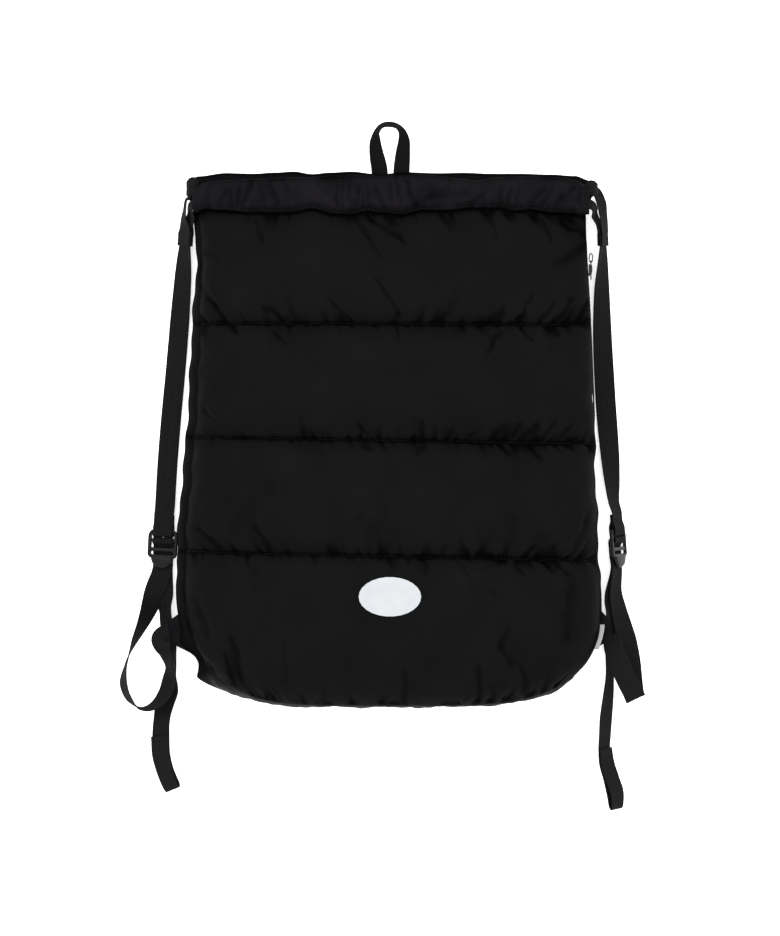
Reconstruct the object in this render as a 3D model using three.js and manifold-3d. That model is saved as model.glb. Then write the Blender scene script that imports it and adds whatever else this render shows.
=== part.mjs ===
import * as THREE from 'three'
import { mergeVertices } from 'three/addons/utils/BufferGeometryUtils.js'
import Module from 'manifold-3d'

// A quilted puffer backpack lying on its back, in millimetres.
// +X is the bag's right in front view, +Y runs towards its mouth and +Z is up, away from the surface.
// The origin is on the flat underside of the back panel, at the middle of its third padded band.

const wasm = await Module()
wasm.setup()

// Driving dimensions
const HALF_W = 196.4
const BODY_L = 454.5
const DEPTH = 90
const PAD_T = 13
const SEAM_T = 3
const CLOTH_T = 1.5
const QUILT_DIP = 9
const BACK_DIP = 6
const GAP = 0.3
const CASING_H = 29
const CASING_T = 10
const CASING_FLARE = 5
const WEB_W = 19
const WEB_T = 1.4
const LOOP_W = 15
const BUCKLE_W = 28.5
const BUCKLE_L = 36.8
const BUCKLE_T = 4
const PATCH_W = 57
const PATCH_H = 36
const PATCH_T = 1.2
const TAG_L = 23
const TAG_OUT = 4.6
const TAG_T = 0.9
const TAB_T = 2
const ZIP_W = 5
const ZIP_T = 1.6
const SLIDER_L = 10.5
const SLIDER_W = 6
const SLIDER_T = 3.4
const PULL_L = 9.4
const PULL_W = 4.2
const PULL_WIRE = 1

// The quilt seams, as shares of the body's length from the mouth seam, and the origin between two of them
const SEAMS = [0, 0.227, 0.46, 0.694, 1]
const ORIGIN = (SEAMS[2] + SEAMS[3]) / 2

const rad = THREE.MathUtils.degToRad
const lerp = THREE.MathUtils.lerp
const clamp = THREE.MathUtils.clamp

// A table is written as lines under a string of column names
const table = (names, ...lines) => {
  const keys = names.split(' ')
  return lines.map((line) => Object.fromEntries(keys.map((key, i) => [key, line[i]])))
}

// The side seams: at is the share of BODY_L from the mouth, left and right are shares of HALF_W, rim of DEPTH
const SIDE = table('at left right rim',
  [0, 0.895, 0.93, 0.24],
  [0.057, 0.882, 0.932, 0.27],
  [0.227, 0.885, 0.952, 0.35],
  [0.46, 0.912, 0.972, 0.4],
  [0.6, 0.942, 0.977, 0.4],
  [0.694, 0.955, 0.986, 0.38],
  [0.8, 0.955, 0.997, 0.34],
  [0.86, 0.925, 0.988, 0.3],
  [0.912, 0.862, 0.935, 0.26],
  [0.939, 0.872, 0.88, 0.2])

// The height of the padded front along the middle, as shares of DEPTH
const CROWN = table('at high',
  [0, 0.58],
  [0.11, 0.74],
  [0.227, 0.86],
  [0.46, 0.97],
  [0.694, 1.02],
  [0.8, 1])

// How far the bottom corners rise above the bottom edge, as shares of BODY_L
const FRONT_RISE = { left: 0.088, right: 0.061 }
const BACK_RISE = { left: 0.061, right: 0.061 }
const BOTTOM_FROM = SEAMS[3]
const ROUND_FROM = 0.8
const EDGE_HIGH = 0.72
const FOOT_HIGH = 0.1
const BACK_FLAT = 1.35
const BACK_BULGE = { left: 0.04, right: 0.004 }

// The largest puckers at the quilt seams: seam number, place from the middle as a share of HALF_W,
// way it runs (1 towards the mouth, -1 towards the bottom), lean, and length as a share of a band
const PUCKERS = table('seam at way lean length',
  [0, -0.6, -1, 0.2, 0.3],
  [0, -0.11, -1, 0.25, 0.42],
  [0, 0.5, -1, 0.15, 0.3],
  [0, 0.76, -1, 0.5, 0.4],
  [1, -0.72, 1, -0.2, 0.4],
  [1, -0.22, 1, 0.1, 0.35],
  [1, 0.05, 1, 0.5, 0.4],
  [1, 0.53, 1, 0.1, 0.4],
  [1, 0.84, 1, 0.4, 0.45],
  [1, 0.48, -1, 0.1, 0.4],
  [2, -0.75, 1, 0.3, 0.4],
  [2, -0.4, 1, 0.1, 0.3],
  [2, 0.4, 1, -0.1, 0.35],
  [2, 0.8, 1, 0.4, 0.5],
  [2, -0.72, -1, -0.3, 0.4],
  [2, 0.16, -1, 0.1, 0.25],
  [3, -0.8, 1, 0.3, 0.35],
  [3, 0.7, 1, 0.3, 0.4],
  [3, -0.7, -1, 0.2, 0.3],
  [3, 0.17, -1, 0.05, 0.3],
  [3, 0.5, -1, 0.1, 0.3],
  [4, -0.7, 1, -0.1, 0.4],
  [4, 0.52, 1, 0.15, 0.35])
const PUCKER_DEEP = 2.2
const PUCKER_HALF = 0.045

// A smooth curve through one column of a table
function column(rows, key, at) {
  const last = rows.length - 1
  const x = clamp(at, rows[0].at, rows[last].at)
  let i = 0
  while (i < last - 1 && x > rows[i + 1].at) i += 1
  const slope = (a, b) => (rows[b][key] - rows[a][key]) / (rows[b].at - rows[a].at)
  const step = rows[i + 1].at - rows[i].at
  const before = i > 0 ? (slope(i - 1, i) + slope(i, i + 1)) / 2 : slope(i, i + 1)
  const after = i < last - 1 ? (slope(i, i + 1) + slope(i + 1, i + 2)) / 2 : slope(i, i + 1)
  const t = (x - rows[i].at) / step
  return (2 * t ** 3 - 3 * t ** 2 + 1) * rows[i][key] + (t ** 3 - 2 * t ** 2 + t) * step * before
    + (3 * t ** 2 - 2 * t ** 3) * rows[i + 1][key] + (t ** 3 - t ** 2) * step * after
}

// The fill of a padded band: 0 at its seams and 1 at its middle
function puff(w) {
  let band = 0
  while (band < SEAMS.length - 2 && w > SEAMS[band + 1]) band += 1
  const t = (w - SEAMS[band]) / (SEAMS[band + 1] - SEAMS[band])
  return Math.max(0, 1 - Math.abs(2 * t - 1) ** 2.6) ** 0.75
}

// u runs from -1 to 1 across a panel and crowds a little towards the side seams
const spread = (u) => 0.7 * Math.sin(u * Math.PI / 2) + 0.3 * u
const dome = (s, n) => Math.max(0, 1 - Math.abs(s) ** n) ** (1 / n)
const turn = (w) => Math.max(0, (w - BOTTOM_FROM) / (1 - BOTTOM_FROM)) ** 1.5
const across = (s, pair) => lerp(pair.left, pair.right, (s + 1) / 2)

function pucker(s, w) {
  let sum = 0
  for (const fold of PUCKERS) {
    const band = fold.way > 0 ? fold.seam - 1 : fold.seam
    const reach = fold.length * (SEAMS[band + 1] - SEAMS[band])
    const run = (SEAMS[fold.seam] - w) * fold.way / reach
    if (run < -0.02 || run > 1) continue
    const off = (s - fold.at - fold.lean * run * reach * BODY_L / HALF_W) / PUCKER_HALF
    sum += Math.exp(-off * off) * (1 - clamp(run, 0, 1)) ** 0.7
  }
  return PUCKER_DEEP * sum
}

// Where both panels are sewn together, at a share of the body's length
function sideSeam(s, at) {
  const pair = { left: column(SIDE, 'left', at), right: column(SIDE, 'right', at) }
  return { half: across(s, pair) * HALF_W, rim: column(SIDE, 'rim', at) * DEPTH }
}

// The zip spreads the two panels apart along the right side seam
const ZIP = { from: 0.028, to: 0.46 }
function zipOpening(s, at) {
  const ease = 0.02
  const inside = clamp((at - ZIP.from) / ease, 0, 1) * clamp((ZIP.to - at) / ease, 0, 1)
  return s > 0 ? inside * (ZIP_W / 2 + GAP / 2) * s ** 4 : 0
}

function frontPoint(u, w) {
  const s = spread(u)
  const rise = across(s, FRONT_RISE) * turn(w)
  const { half, rim } = sideSeam(s, w - rise)
  const fall = clamp((w - ROUND_FROM) / (1 - ROUND_FROM), 0, 1)
  const round = (1 - fall ** 2.6) ** (1 / 2.2)
  const crown = lerp(EDGE_HIGH, column(CROWN, 'high', w), round) * DEPTH
  const low = rim + GAP / 2 + zipOpening(s, w - rise)
  const up = dome(s, lerp(2.4, 3, turn(w)))
  const dip = QUILT_DIP * (1 - puff(w)) + pucker(s, w)
  return new THREE.Vector3(
    s * half,
    (ORIGIN - w) * BODY_L + rise * Math.abs(s) ** 5 * BODY_L,
    low + (crown - low) * up - dip * up ** 0.6)
}

function backPoint(u, w) {
  const s = spread(u)
  const rise = across(s, BACK_RISE) * turn(w)
  const { half, rim } = sideSeam(s, w - rise)
  const down = Math.min(1, BACK_FLAT * dome(s, 2.4))
  const bulge = across(s, BACK_BULGE) * 4 * down * (1 - down) * HALF_W
  const seamLift = Math.max(0, BACK_DIP * (1 - puff(w)) - 1.3)
  const foot = clamp((w - ROUND_FROM) / (1 - ROUND_FROM), 0, 1)
  const lift = lerp(w > BOTTOM_FROM ? 0 : seamLift, FOOT_HIGH * DEPTH, 1 - (1 - foot ** 6) ** 0.5)
  const seamSide = w > BOTTOM_FROM && w < ROUND_FROM ? seamLift : 0
  const low = rim - GAP / 2 - zipOpening(s, w - rise)
  return new THREE.Vector3(
    s * half + Math.sign(s) * bulge,
    (ORIGIN - w) * BODY_L + rise * Math.abs(s) ** 5 * BODY_L,
    lerp(low, Math.max(lift, seamSide), down))
}

// The outward normal of a panel, from two nearby points each way. It is level where the panel's edge is sewn.
function normalOf(point, u, w, sign) {
  const e = 0.004
  const du = point(Math.min(1, u + e), w).sub(point(Math.max(-1, u - e), w))
  const dw = point(u, Math.min(1, w + e)).sub(point(u, Math.max(0, w - e)))
  const normal = dw.cross(du).multiplyScalar(sign)
  if (Math.abs(u) === 1 || w === 1) normal.z = 0
  return normal.normalize()
}

const thickness = (s, w) => SEAM_T + (PAD_T - SEAM_T) * puff(w) * (1 - Math.abs(s) ** 6)

// A closed mesh from a list of points and a list of triangles
function solid(points, faces) {
  const geometry = new THREE.BufferGeometry()
  geometry.setAttribute('position', new THREE.Float32BufferAttribute(points.flatMap((p) => p.toArray()), 3))
  geometry.setIndex(faces.flat())
  return geometry
}

// A wall between two grids of points, closed along its four edges
function wall(outer, inner) {
  const rows = outer.length
  const cols = outer[0].length
  const id = (layer, r, c) => (layer * rows + r) * cols + c
  const faces = []
  const quad = (a, b, c, d) => faces.push([a, b, c], [a, c, d])
  for (let r = 0; r < rows - 1; r += 1) {
    for (let c = 0; c < cols - 1; c += 1) {
      quad(id(0, r, c), id(0, r + 1, c), id(0, r + 1, c + 1), id(0, r, c + 1))
      quad(id(1, r, c), id(1, r, c + 1), id(1, r + 1, c + 1), id(1, r + 1, c))
    }
  }
  for (let r = 0; r < rows - 1; r += 1) {
    quad(id(0, r, 0), id(1, r, 0), id(1, r + 1, 0), id(0, r + 1, 0))
    quad(id(0, r + 1, cols - 1), id(1, r + 1, cols - 1), id(1, r, cols - 1), id(0, r, cols - 1))
  }
  for (let c = 0; c < cols - 1; c += 1) {
    quad(id(0, 0, c + 1), id(1, 0, c + 1), id(1, 0, c), id(0, 0, c))
    quad(id(0, rows - 1, c), id(1, rows - 1, c), id(1, rows - 1, c + 1), id(0, rows - 1, c + 1))
  }
  return solid([...outer.flat(), ...inner.flat()], faces)
}

function flipped(geometry) {
  const index = geometry.getIndex().array
  for (let i = 0; i < index.length; i += 3) [index[i + 1], index[i + 2]] = [index[i + 2], index[i + 1]]
  return geometry
}

const steps = (count, from, to) => Array.from({ length: count + 1 }, (_, i) => lerp(from, to, i / count))
const BAND_ROWS = [0, 0.06, 0.2, 0.5, 0.8, 0.94]
const PANEL_ROWS = [...SEAMS.slice(0, -1).flatMap((seam, i) => BAND_ROWS.map((t) => lerp(seam, SEAMS[i + 1], t))), 1]

// The back panel leaves out every other column of the front one along its flat middle
const FRONT_COLS = steps(30, -1, 1)
const BACK_COLS = FRONT_COLS.filter((u, i) => Math.abs(u) > 0.62 || i % 2 === 1)

function layers(point, cols, sign) {
  const outer = PANEL_ROWS.map((w) => cols.map((u) => point(u, w)))
  const inner = PANEL_ROWS.map((w, r) => cols.map((u, c) =>
    outer[r][c].clone().addScaledVector(normalOf(point, u, w, sign), -thickness(spread(u), w))))
  return { cols, outer, inner }
}

const frontLayers = layers(frontPoint, FRONT_COLS, 1)
const backLayers = layers(backPoint, BACK_COLS, -1)
const panel = ({ outer, inner }) => wall(outer, inner)

// A point of a panel's bottom edge and the way into its wall there
function bottomEdge({ cols, outer, inner }, u) {
  let i = 0
  while (i < cols.length - 2 && u > cols[i + 1]) i += 1
  const t = (u - cols[i]) / (cols[i + 1] - cols[i])
  const [a, b] = [outer.at(-1), inner.at(-1)]
  const place = a[i].clone().lerp(a[i + 1], t)
  return { place, inward: b[i].clone().lerp(b[i + 1], t).sub(place).normalize() }
}

// The bottom cloth stands between the bottom edges of the two panels
function gusset() {
  const us = [-0.975, ...FRONT_COLS.slice(1, -1), 0.975]
  const rows = (depth) => steps(2, 0, 1).map((t) => us.map((u) => {
    const [top, foot] = [bottomEdge(frontLayers, u), bottomEdge(backLayers, u)]
    const inward = top.inward.lerp(foot.inward, t).normalize()
    top.place.z -= 1.8 * GAP
    foot.place.z += 2 * GAP
    const room = Math.min(1, (top.place.z - foot.place.z) / 10)
    return top.place.lerp(foot.place, t).addScaledVector(inward, room * (depth - 1.5 * Math.sin(t * Math.PI)))
  }))
  return wall(rows(0), rows(CLOTH_T))
}

// The two drawstring tunnels: the middle of each, by its side of the mouth and its place across the bag
const MOUTH_Y = ORIGIN * BODY_L
const CASING_SIDE = {
  front: { edge: 0.325, crown: 0.45, top: 0, layer: 1 },
  back: { edge: 0.155, crown: 0.086, top: 5, layer: -1 },
}
const casingHalf = (s) => across(s, { left: 0.906, right: 0.944 }) * HALF_W
const casingHigh = (name, s) => lerp(CASING_SIDE[name].edge, CASING_SIDE[name].crown, (1 - s * s) ** 0.6) * DEPTH
const flare = (s) => CASING_FLARE * Math.max(0, (Math.abs(s) - 0.8) / 0.2) ** 2 / 2

// Gathers of the tunnels: waves across the bag, each with its count, size and start
const GATHERS = table('count size start', [9, 0.5, 0.4], [14, 0.35, 1.9], [5, 0.3, 4])

function casing(name) {
  const { top, layer } = CASING_SIDE[name]
  const sides = 8
  const ring = (s, shrink) => {
    const gather = GATHERS.reduce((sum, g) => sum + g.size * Math.cos(g.count * Math.PI * s * layer + g.start), 0)
    const tall = (CASING_H + top) / 2
    const middle = new THREE.Vector3(s * casingHalf(s), MOUTH_Y + GAP + tall, casingHigh(name, s))
    const thick = CASING_T / 2 + flare(s)
    return Array.from({ length: sides }, (_, i) => {
      const a = (i + 0.5) * 2 * Math.PI / sides
      const boxy = (v) => Math.sign(v) * Math.abs(v) ** 0.6
      const lump = i < sides / 2 ? gather : 0
      const y = boxy(Math.cos(a)) * (tall - shrink)
      const z = boxy(Math.sin(a)) * (thick + (shrink ? 0 : Math.max(0, lump)) - shrink)
      return middle.clone().add(new THREE.Vector3(0, y, z * layer))
    })
  }
  const stations = steps(24, -1, 1).map(spread)
  const loops = [0, CLOTH_T].map((shrink) => stations.map((s) => ring(s, shrink)))
  const points = loops.flat(2)
  const id = (shell, station, i) => (shell * stations.length + station) * sides + i % sides
  const faces = []
  const quad = (a, b, c, d) => faces.push([a, b, c], [a, c, d])
  for (let k = 0; k < stations.length - 1; k += 1) {
    for (let i = 0; i < sides; i += 1) {
      quad(id(0, k, i), id(0, k + 1, i), id(0, k + 1, i + 1), id(0, k, i + 1))
      quad(id(1, k, i), id(1, k, i + 1), id(1, k + 1, i + 1), id(1, k + 1, i))
    }
  }
  const end = stations.length - 1
  for (let i = 0; i < sides; i += 1) {
    quad(id(0, 0, i), id(0, 0, i + 1), id(1, 0, i + 1), id(1, 0, i))
    quad(id(0, end, i), id(1, end, i), id(1, end, i + 1), id(0, end, i + 1))
  }
  const geometry = solid(points, faces)
  return layer > 0 ? flipped(geometry) : geometry
}

// Webbing. A stop of its route has a place, a width, and the way its width points: either square to the route
// in plan and tilted up by tilt degrees, or along its own vector. off moves it along its upward normal, in layers.
const floorHigh = (tilt, width) => Math.abs(Math.sin(rad(tilt))) * width / 2 + WEB_T / 2 + GAP
const LAYER = WEB_T + GAP

function webbing(stops, perSpan = 2) {
  const place = stops.map((stop) => stop.place.clone())
  const tangent = (i) => place[Math.min(i + 1, place.length - 1)].clone().sub(place[Math.max(i - 1, 0)]).normalize()
  const wide = []
  stops.forEach((stop, i) => {
    let w = stop.wide && stop.wide.clone()
    if (!w) {
      const t = tangent(i)
      const flat = new THREE.Vector3(-t.y, t.x, 0).normalize().multiplyScalar(stop.side)
      w = flat.multiplyScalar(Math.cos(rad(stop.tilt))).add(new THREE.Vector3(0, 0, Math.sin(rad(stop.tilt))))
    }
    if (i > 0 && w.dot(wide[i - 1]) < 0) w.negate()
    wide.push(w)
  })
  stops.forEach((stop, i) => {
    if (!stop.off) return
    const n = tangent(i).cross(wide[i]).normalize()
    place[i].addScaledVector(n, stop.off * LAYER * Math.sign(n.z))
  })
  const path = new THREE.CatmullRomCurve3(place, false, 'centripetal')
  const face = new THREE.CatmullRomCurve3(wide, false, 'centripetal')
  const count = (stops.length - 1) * perSpan
  const points = []
  for (let k = 0; k <= count; k += 1) {
    const t = k / count
    const run = path.getTangent(t)
    const w = face.getPoint(t)
    const i = Math.min(Math.floor(k / perSpan), stops.length - 2)
    const width = lerp(stops[i].width, stops[i + 1].width, k / perSpan - i)
    w.addScaledVector(run, -w.dot(run)).normalize().multiplyScalar(width / 2)
    const n = run.clone().cross(w).normalize().multiplyScalar(WEB_T / 2)
    const at = path.getPoint(t)
    points.push(at.clone().add(w).add(n), at.clone().sub(w).add(n), at.clone().sub(w).sub(n), at.clone().add(w).sub(n))
  }
  const faces = []
  for (let k = 0; k < count; k += 1) {
    for (let i = 0; i < 4; i += 1) {
      const [a, b] = [4 * k + i, 4 * k + (i + 1) % 4]
      faces.push([a, b, b + 4], [a, b + 4, a + 4])
    }
  }
  const z = 4 * count
  faces.push([0, 2, 1], [0, 3, 2], [z, z + 1, z + 2], [z, z + 2, z + 3])
  return solid(points, faces)
}

// Routes are written for the right side and mirrored for the left: out is a share of HALF_W away from the
// middle, up a share of BODY_L towards the mouth, and high a share of DEPTH, or null for lying on the floor
function stop(side, row, width = WEB_W) {
  const high = row.high == null ? floorHigh(row.tilt, width) + (row.raise || 0) * LAYER : row.high * DEPTH
  const place = new THREE.Vector3(side * row.out * HALF_W, row.up * BODY_L, high)
  let wide = null
  if (row.face != null) {
    const [f, t] = [rad(row.face), rad(row.tilt)]
    wide = new THREE.Vector3(side * Math.cos(f) * Math.cos(t), Math.sin(f) * Math.cos(t), Math.sin(t))
  }
  return { place, width, tilt: row.tilt, wide, side, off: row.off || 0 }
}

const STRAP = {
  left: table('out up tilt raise',
    [0.95, 0.54, -58, 1.4], [0.956, 0.51, -53, 1.4], [0.9625, 0.455, -44], [0.979, 0.35, -30], [0.998, 0.253, -30],
    [1.019, 0.156, -23], [1.0375, 0.0585, -22, 1.2], [1.0505, -0.02, -14, 3]),
  right: table('out up tilt raise',
    [1.01, 0.54, -74, 1.4], [1.01, 0.51, -70, 1.4], [1.005, 0.465, -62], [1, 0.423, -51], [1.004, 0.326, -35],
    [1.012, 0.253, -20], [1.021, 0.18, -15], [1.04, 0.083, -30, 0.4], [1.05, 0.034, -44, 1.3], [1.062, -0.01, -57, 2.4]),
}

// Where each buckle lies: its middle, and how it is turned about its strap and in plan
const BUCKLE = {
  left: { out: 1.061, up: -0.1055, high: 0.1, tilt: -12, lean: 3 },
  right: { out: 1.083, up: -0.1034, high: 0.156, tilt: -60, lean: 4 },
}
const SIDES = { left: -1, right: 1 }

// Axes of a buckle: u across it, v towards the shoulder and n out of its face
function buckleFrame(name) {
  const { out, up, high, tilt, lean } = BUCKLE[name]
  const side = SIDES[name]
  const v = new THREE.Vector3(-side * Math.sin(rad(lean)), Math.cos(rad(lean)), 0)
  const flat = new THREE.Vector3(side * Math.cos(rad(lean)), Math.sin(rad(lean)), 0)
  const u = flat.multiplyScalar(Math.cos(rad(tilt))).add(new THREE.Vector3(0, 0, Math.sin(rad(tilt))))
  const n = u.clone().cross(v).multiplyScalar(side)
  const middle = new THREE.Vector3(side * out * HALF_W, up * BODY_L, high * DEPTH)
  return { middle, u, v, n }
}

// A stop beside the buckle's bars, from its place along the buckle and out of its face
function barStop(frame, along, out) {
  const place = frame.middle.clone().addScaledVector(frame.v, along).addScaledVector(frame.n, out)
  return { place, width: WEB_W, wide: frame.u.clone() }
}

// The buckle's bars, from its middle towards the shoulder
const TOP_BAR = { low: BUCKLE_L / 2 - 4.4, high: BUCKLE_L / 2 }
const BAR_A = { low: 5.8, high: 8.7 }
const BAR_B = { low: -2.8, high: 0.9 }
const LIP = { low: -BUCKLE_L / 2, high: -7 }
const BAR_T = 3
const CLEAR = WEB_T / 2 + GAP

// The top of a shoulder strap is sewn flat between the two ends of its drawstring
function sewn(name, off) {
  const [top, end] = STRAP[name].slice(0, 2).map((row) => stop(SIDES[name], row))
  const run = end.place.clone().sub(top.place).normalize()
  const tilt = rad((top.tilt + end.tilt) / 2)
  const flat = new THREE.Vector3(-run.y, run.x, 0).normalize().multiplyScalar(SIDES[name])
  const wide = flat.multiplyScalar(Math.cos(tilt)).add(new THREE.Vector3(0, 0, Math.sin(tilt)))
  const n = run.clone().cross(wide).normalize()
  const away = off * LAYER * 1.25 * Math.sign(n.z)
  return [0, 0.5, 1].map((t) => ({
    place: top.place.clone().lerp(end.place, t).addScaledVector(n, away), width: WEB_W, wide: wide.clone() }))
}

// The shoulder strap ends in a fold round the buckle's top bar, sewn to itself
function shoulderStrap(name) {
  const frame = buckleFrame(name)
  const round = BUCKLE_T / 2 + CLEAR + 0.1
  const middle = (TOP_BAR.low + TOP_BAR.high) / 2
  const fold = [[32, LAYER * 0.7], [25, LAYER * 0.7], [TOP_BAR.high + 1, round * 0.95], [middle, round],
    [TOP_BAR.low - 0.9, round * 0.8], [TOP_BAR.low - CLEAR - 0.5, 0], [TOP_BAR.low - 0.9, -round * 0.8],
    [middle, -round], [TOP_BAR.high + 1, -round * 0.95], [25, -LAYER * 0.7], [31, -LAYER * 0.7]]
  return webbing([
    ...sewn(name, 0),
    ...STRAP[name].slice(2).map((row) => stop(SIDES[name], row)),
    ...fold.map(([along, out]) => barStop(frame, along, out))])
}

// A drawstring bunches up in its tunnels. Its own two ends leave by the lower lane, and the loop at its far
// end by the upper lane. In the middle, where both strings change lanes, the left one passes in front.
const LANE_W = 0.36 * CASING_H
const LANE_STEP = LANE_W / 2 + 0.6
const LANE = { own: MOUTH_Y + GAP + CASING_H / 2 - LANE_STEP, loop: MOUTH_Y + GAP + CASING_H / 2 + LANE_STEP }
const OWN_STRAND = {
  left: {
    front: table('out up high tilt face', [0.924, 0.59, 0.305, -44, 72],
      [0.925, 0.572, 0.215, -64, 14], [0.936, 0.555, 0.16, -60, 0]),
    back: table('out up high tilt face', [0.951, 0.591, 0.155, -44, 66],
      [0.9705, 0.572, 0.135, -62, 12], [0.965, 0.555, 0.125, -60, 0]),
  },
  right: {
    front: table('out up high tilt face', [0.962, 0.59, 0.305, -44, 72],
      [0.973, 0.572, 0.215, -68, 10], [0.99, 0.555, 0.165, -72, 0]),
    back: table('out up high tilt face', [0.99, 0.593, 0.155, -46, 62],
      [1.022, 0.575, 0.135, -66, 10], [1.022, 0.555, 0.125, -72, 0]),
  },
}

function drawstring(name) {
  const side = SIDES[name]
  const end = (part, off) => {
    const rows = OWN_STRAND[name][part]
    return [...rows.map((row, i) => stop(side, row, lerp(LANE_W, WEB_W, (i + 0.3) / rows.length))), ...sewn(name, off)]
  }
  const inside = [0.965, 0.8, 0.5, 0.2, -0.2, -0.5, -0.8, -0.99]
  const run = (part) => inside.map((s) => {
    const y = lerp(LANE.loop, LANE.own, THREE.MathUtils.smoothstep(s, -0.7, 0.7))
    const z = casingHigh(part, side * s) - CASING_SIDE[part].layer * side * LAYER * 0.6 * (1 - s ** 6)
    const place = new THREE.Vector3(side * s * casingHalf(side * s), y, z)
    const roll = rad(s > 0.9 ? 25 : 0)
    return { place, width: LANE_W, wide: new THREE.Vector3(0, Math.cos(roll), -Math.sin(roll)) }
  })
  const [there, back] = [run('front'), run('back').reverse()]
  const [a, b] = [there.at(-1).place, back[0].place]
  const radius = (a.z - b.z) / 2
  const bend = [45, 90, 135].map((angle) => {
    const x = -side * (2 + radius * Math.sin(rad(angle)))
    const place = a.clone().lerp(b, 0.5).add(new THREE.Vector3(x, 0, radius * Math.cos(rad(angle))))
    return { place, width: LANE_W, wide: new THREE.Vector3(0, 1, 0) }
  })
  return webbing([...end('front', -1).reverse(), ...there, ...bend, ...back, ...end('back', 1)])
}

// Lower straps: from the corner tab round the slack loop to the buckle, and the tail down to its hem
const LOWER = {
  left: {
    slack: table('out up high tilt face',
      [1.074, -0.27, 0.2, -10, -35], [1.062, -0.292, 0.22, -34, -28], [1.047, -0.316, 0.235, -56],
      [1.029, -0.345, 0.235, -69], [1.031, -0.375, 0.22, -48], [1.054, -0.401, 0.205, -52], [1.105, -0.4235, 0.17, -66],
      [1.173, -0.4285, 0.124, -90], [1.222, -0.409, 0.122, -108], [1.245, -0.381, 0.12, -112],
      [1.2365, -0.3465, 0.122, -98], [1.217, -0.319, 0.12, -90], [1.194, -0.294, null, -76],
      [1.164, -0.267, null, -62], [1.136, -0.239, null, -46], [1.113, -0.212, 0.07, -24], [1.095, -0.188, 0.08, -4]),
    tail: table('out up high tilt',
      [1.053, -0.2, 0.055, -30], [1.049, -0.233, null, -54], [1.042, -0.261, null, -50], [1.028, -0.296, null, -48],
      [1.0095, -0.33, null, -74], [1.005, -0.358, null, -82], [1.017, -0.391, 0.097, -48], [1.049, -0.419, null, -28],
      [1.0655, -0.452, null, -36], [1.07, -0.488, null, -32], [1.0655, -0.5245, null, -34], [1.0445, -0.559, null, -38],
      [1.0115, -0.5915, null, -42]),
    open: 0,
  },
  right: {
    slack: table('out up high tilt face',
      [1.077, -0.274, 0.19, 0, 25], [1.092, -0.308, 0.185, -2], [1.114, -0.342, 0.175, -2], [1.138, -0.374, 0.15, 0],
      [1.156, -0.398, 0.125, 0, 26], [1.166, -0.411, 0.085, 0, 26], [1.158, -0.3985, 0.045, 0, 26],
      [1.152, -0.376, null, 4], [1.144, -0.337, null, 13], [1.127, -0.2937, null, 21], [1.105, -0.2594, null, 30],
      [1.0875, -0.2309, null, 40], [1.076, -0.2087, 0.105, 48], [1.072, -0.188, 0.12, 55]),
    tail: table('out up high tilt',
      [1.053, -0.205, 0.11, -44], [1.057, -0.236, null, -50], [1.046, -0.272, null, -56], [1.045, -0.31, null, -62],
      [1.0445, -0.36, null, -66], [1.0375, -0.403, null, -58], [1.026, -0.452, null, -52], [1.021, -0.4885, null, -54],
      [1.018, -0.5125, null, -54], [1.026, -0.5426, null, -48], [1.047, -0.573, null, -46], [1.061, -0.606, null, -50],
      [1.07, -0.632, null, -54]),
    open: 1.6,
  },
}
const HEM_STOPS = 4

function lowerStrap(name) {
  const side = SIDES[name]
  const frame = buckleFrame(name)
  const { slack, tail, open } = LOWER[name]
  const behind = BAR_T / 2 + CLEAR
  const [low, high] = [BAR_A.low, BAR_A.high]
  const bars = [[-20, -behind - 0.2], [-4, -behind - 0.1], [BAR_B.high + 0.4, -behind], [low - 2.2, -behind * 0.6],
    [low - 1.2, 0], [low - 0.8, behind * 0.8], [low + 0.3, behind + 0.25], [high - 0.3, behind + 0.25],
    [high + 0.8, behind * 0.8], [high + 1.2, 0], [high + 0.7, -behind * 0.9], [low + 1, -behind - LAYER - 0.2],
    [0, -behind - LAYER - 0.5], [-8, -behind - LAYER - 0.4], [-20, -behind - LAYER - 0.3]]
  const last = tail.at(-1)
  const hem = tail.slice(-1 - HEM_STOPS, -1).reverse()
  const end = stop(side, last)
  const before = stop(side, tail.at(-2))
  const run = end.place.clone().sub(before.place).normalize()
  const flat = new THREE.Vector3(-run.y, run.x, 0).normalize().multiplyScalar(side)
  const wide = flat.multiplyScalar(Math.cos(rad(last.tilt))).add(new THREE.Vector3(0, 0, Math.sin(rad(last.tilt))))
  const n = run.clone().cross(wide).normalize()
  if (n.z < 0) n.negate()
  const bend = [[0, 0], [WEB_T, LAYER * 0.7], [0, LAYER * 1.4]].map(([forward, out]) => ({
    place: end.place.clone().addScaledVector(run, forward).addScaledVector(n, out), width: WEB_W, wide: wide.clone() }))
  return webbing([
    ...slack.map((row) => stop(side, row)),
    ...bars.map(([along, out]) => barStop(frame, along, out)),
    ...tail.slice(0, -1).map((row) => stop(side, row)),
    ...bend,
    ...hem.map((row, i) => stop(side, { ...row, tilt: -row.tilt, off: 1.3 + (i === 0 ? open : 0) }))])
}

const HANG = table('out up high tilt face',
  [-0.034, 0.584, 0.0135, 0, 180], [-0.0375, 0.64, 0.0135, 0, 180], [-0.041, 0.668, null, 10], [-0.055, 0.7, null, 32],
  [-0.0605, 0.724, null, 50], [-0.055, 0.7405, null, 72], [-0.031, 0.7545, null, 78], [0.003, 0.758, null, 76],
  [0.043, 0.754, null, 76], [0.067, 0.7425, null, 66], [0.0755, 0.7265, null, 48], [0.071, 0.702, null, 30],
  [0.064, 0.668, null, 10], [0.062, 0.64, 0.0135, 0, 0], [0.06, 0.584, 0.0135, 0, 0])

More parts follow.
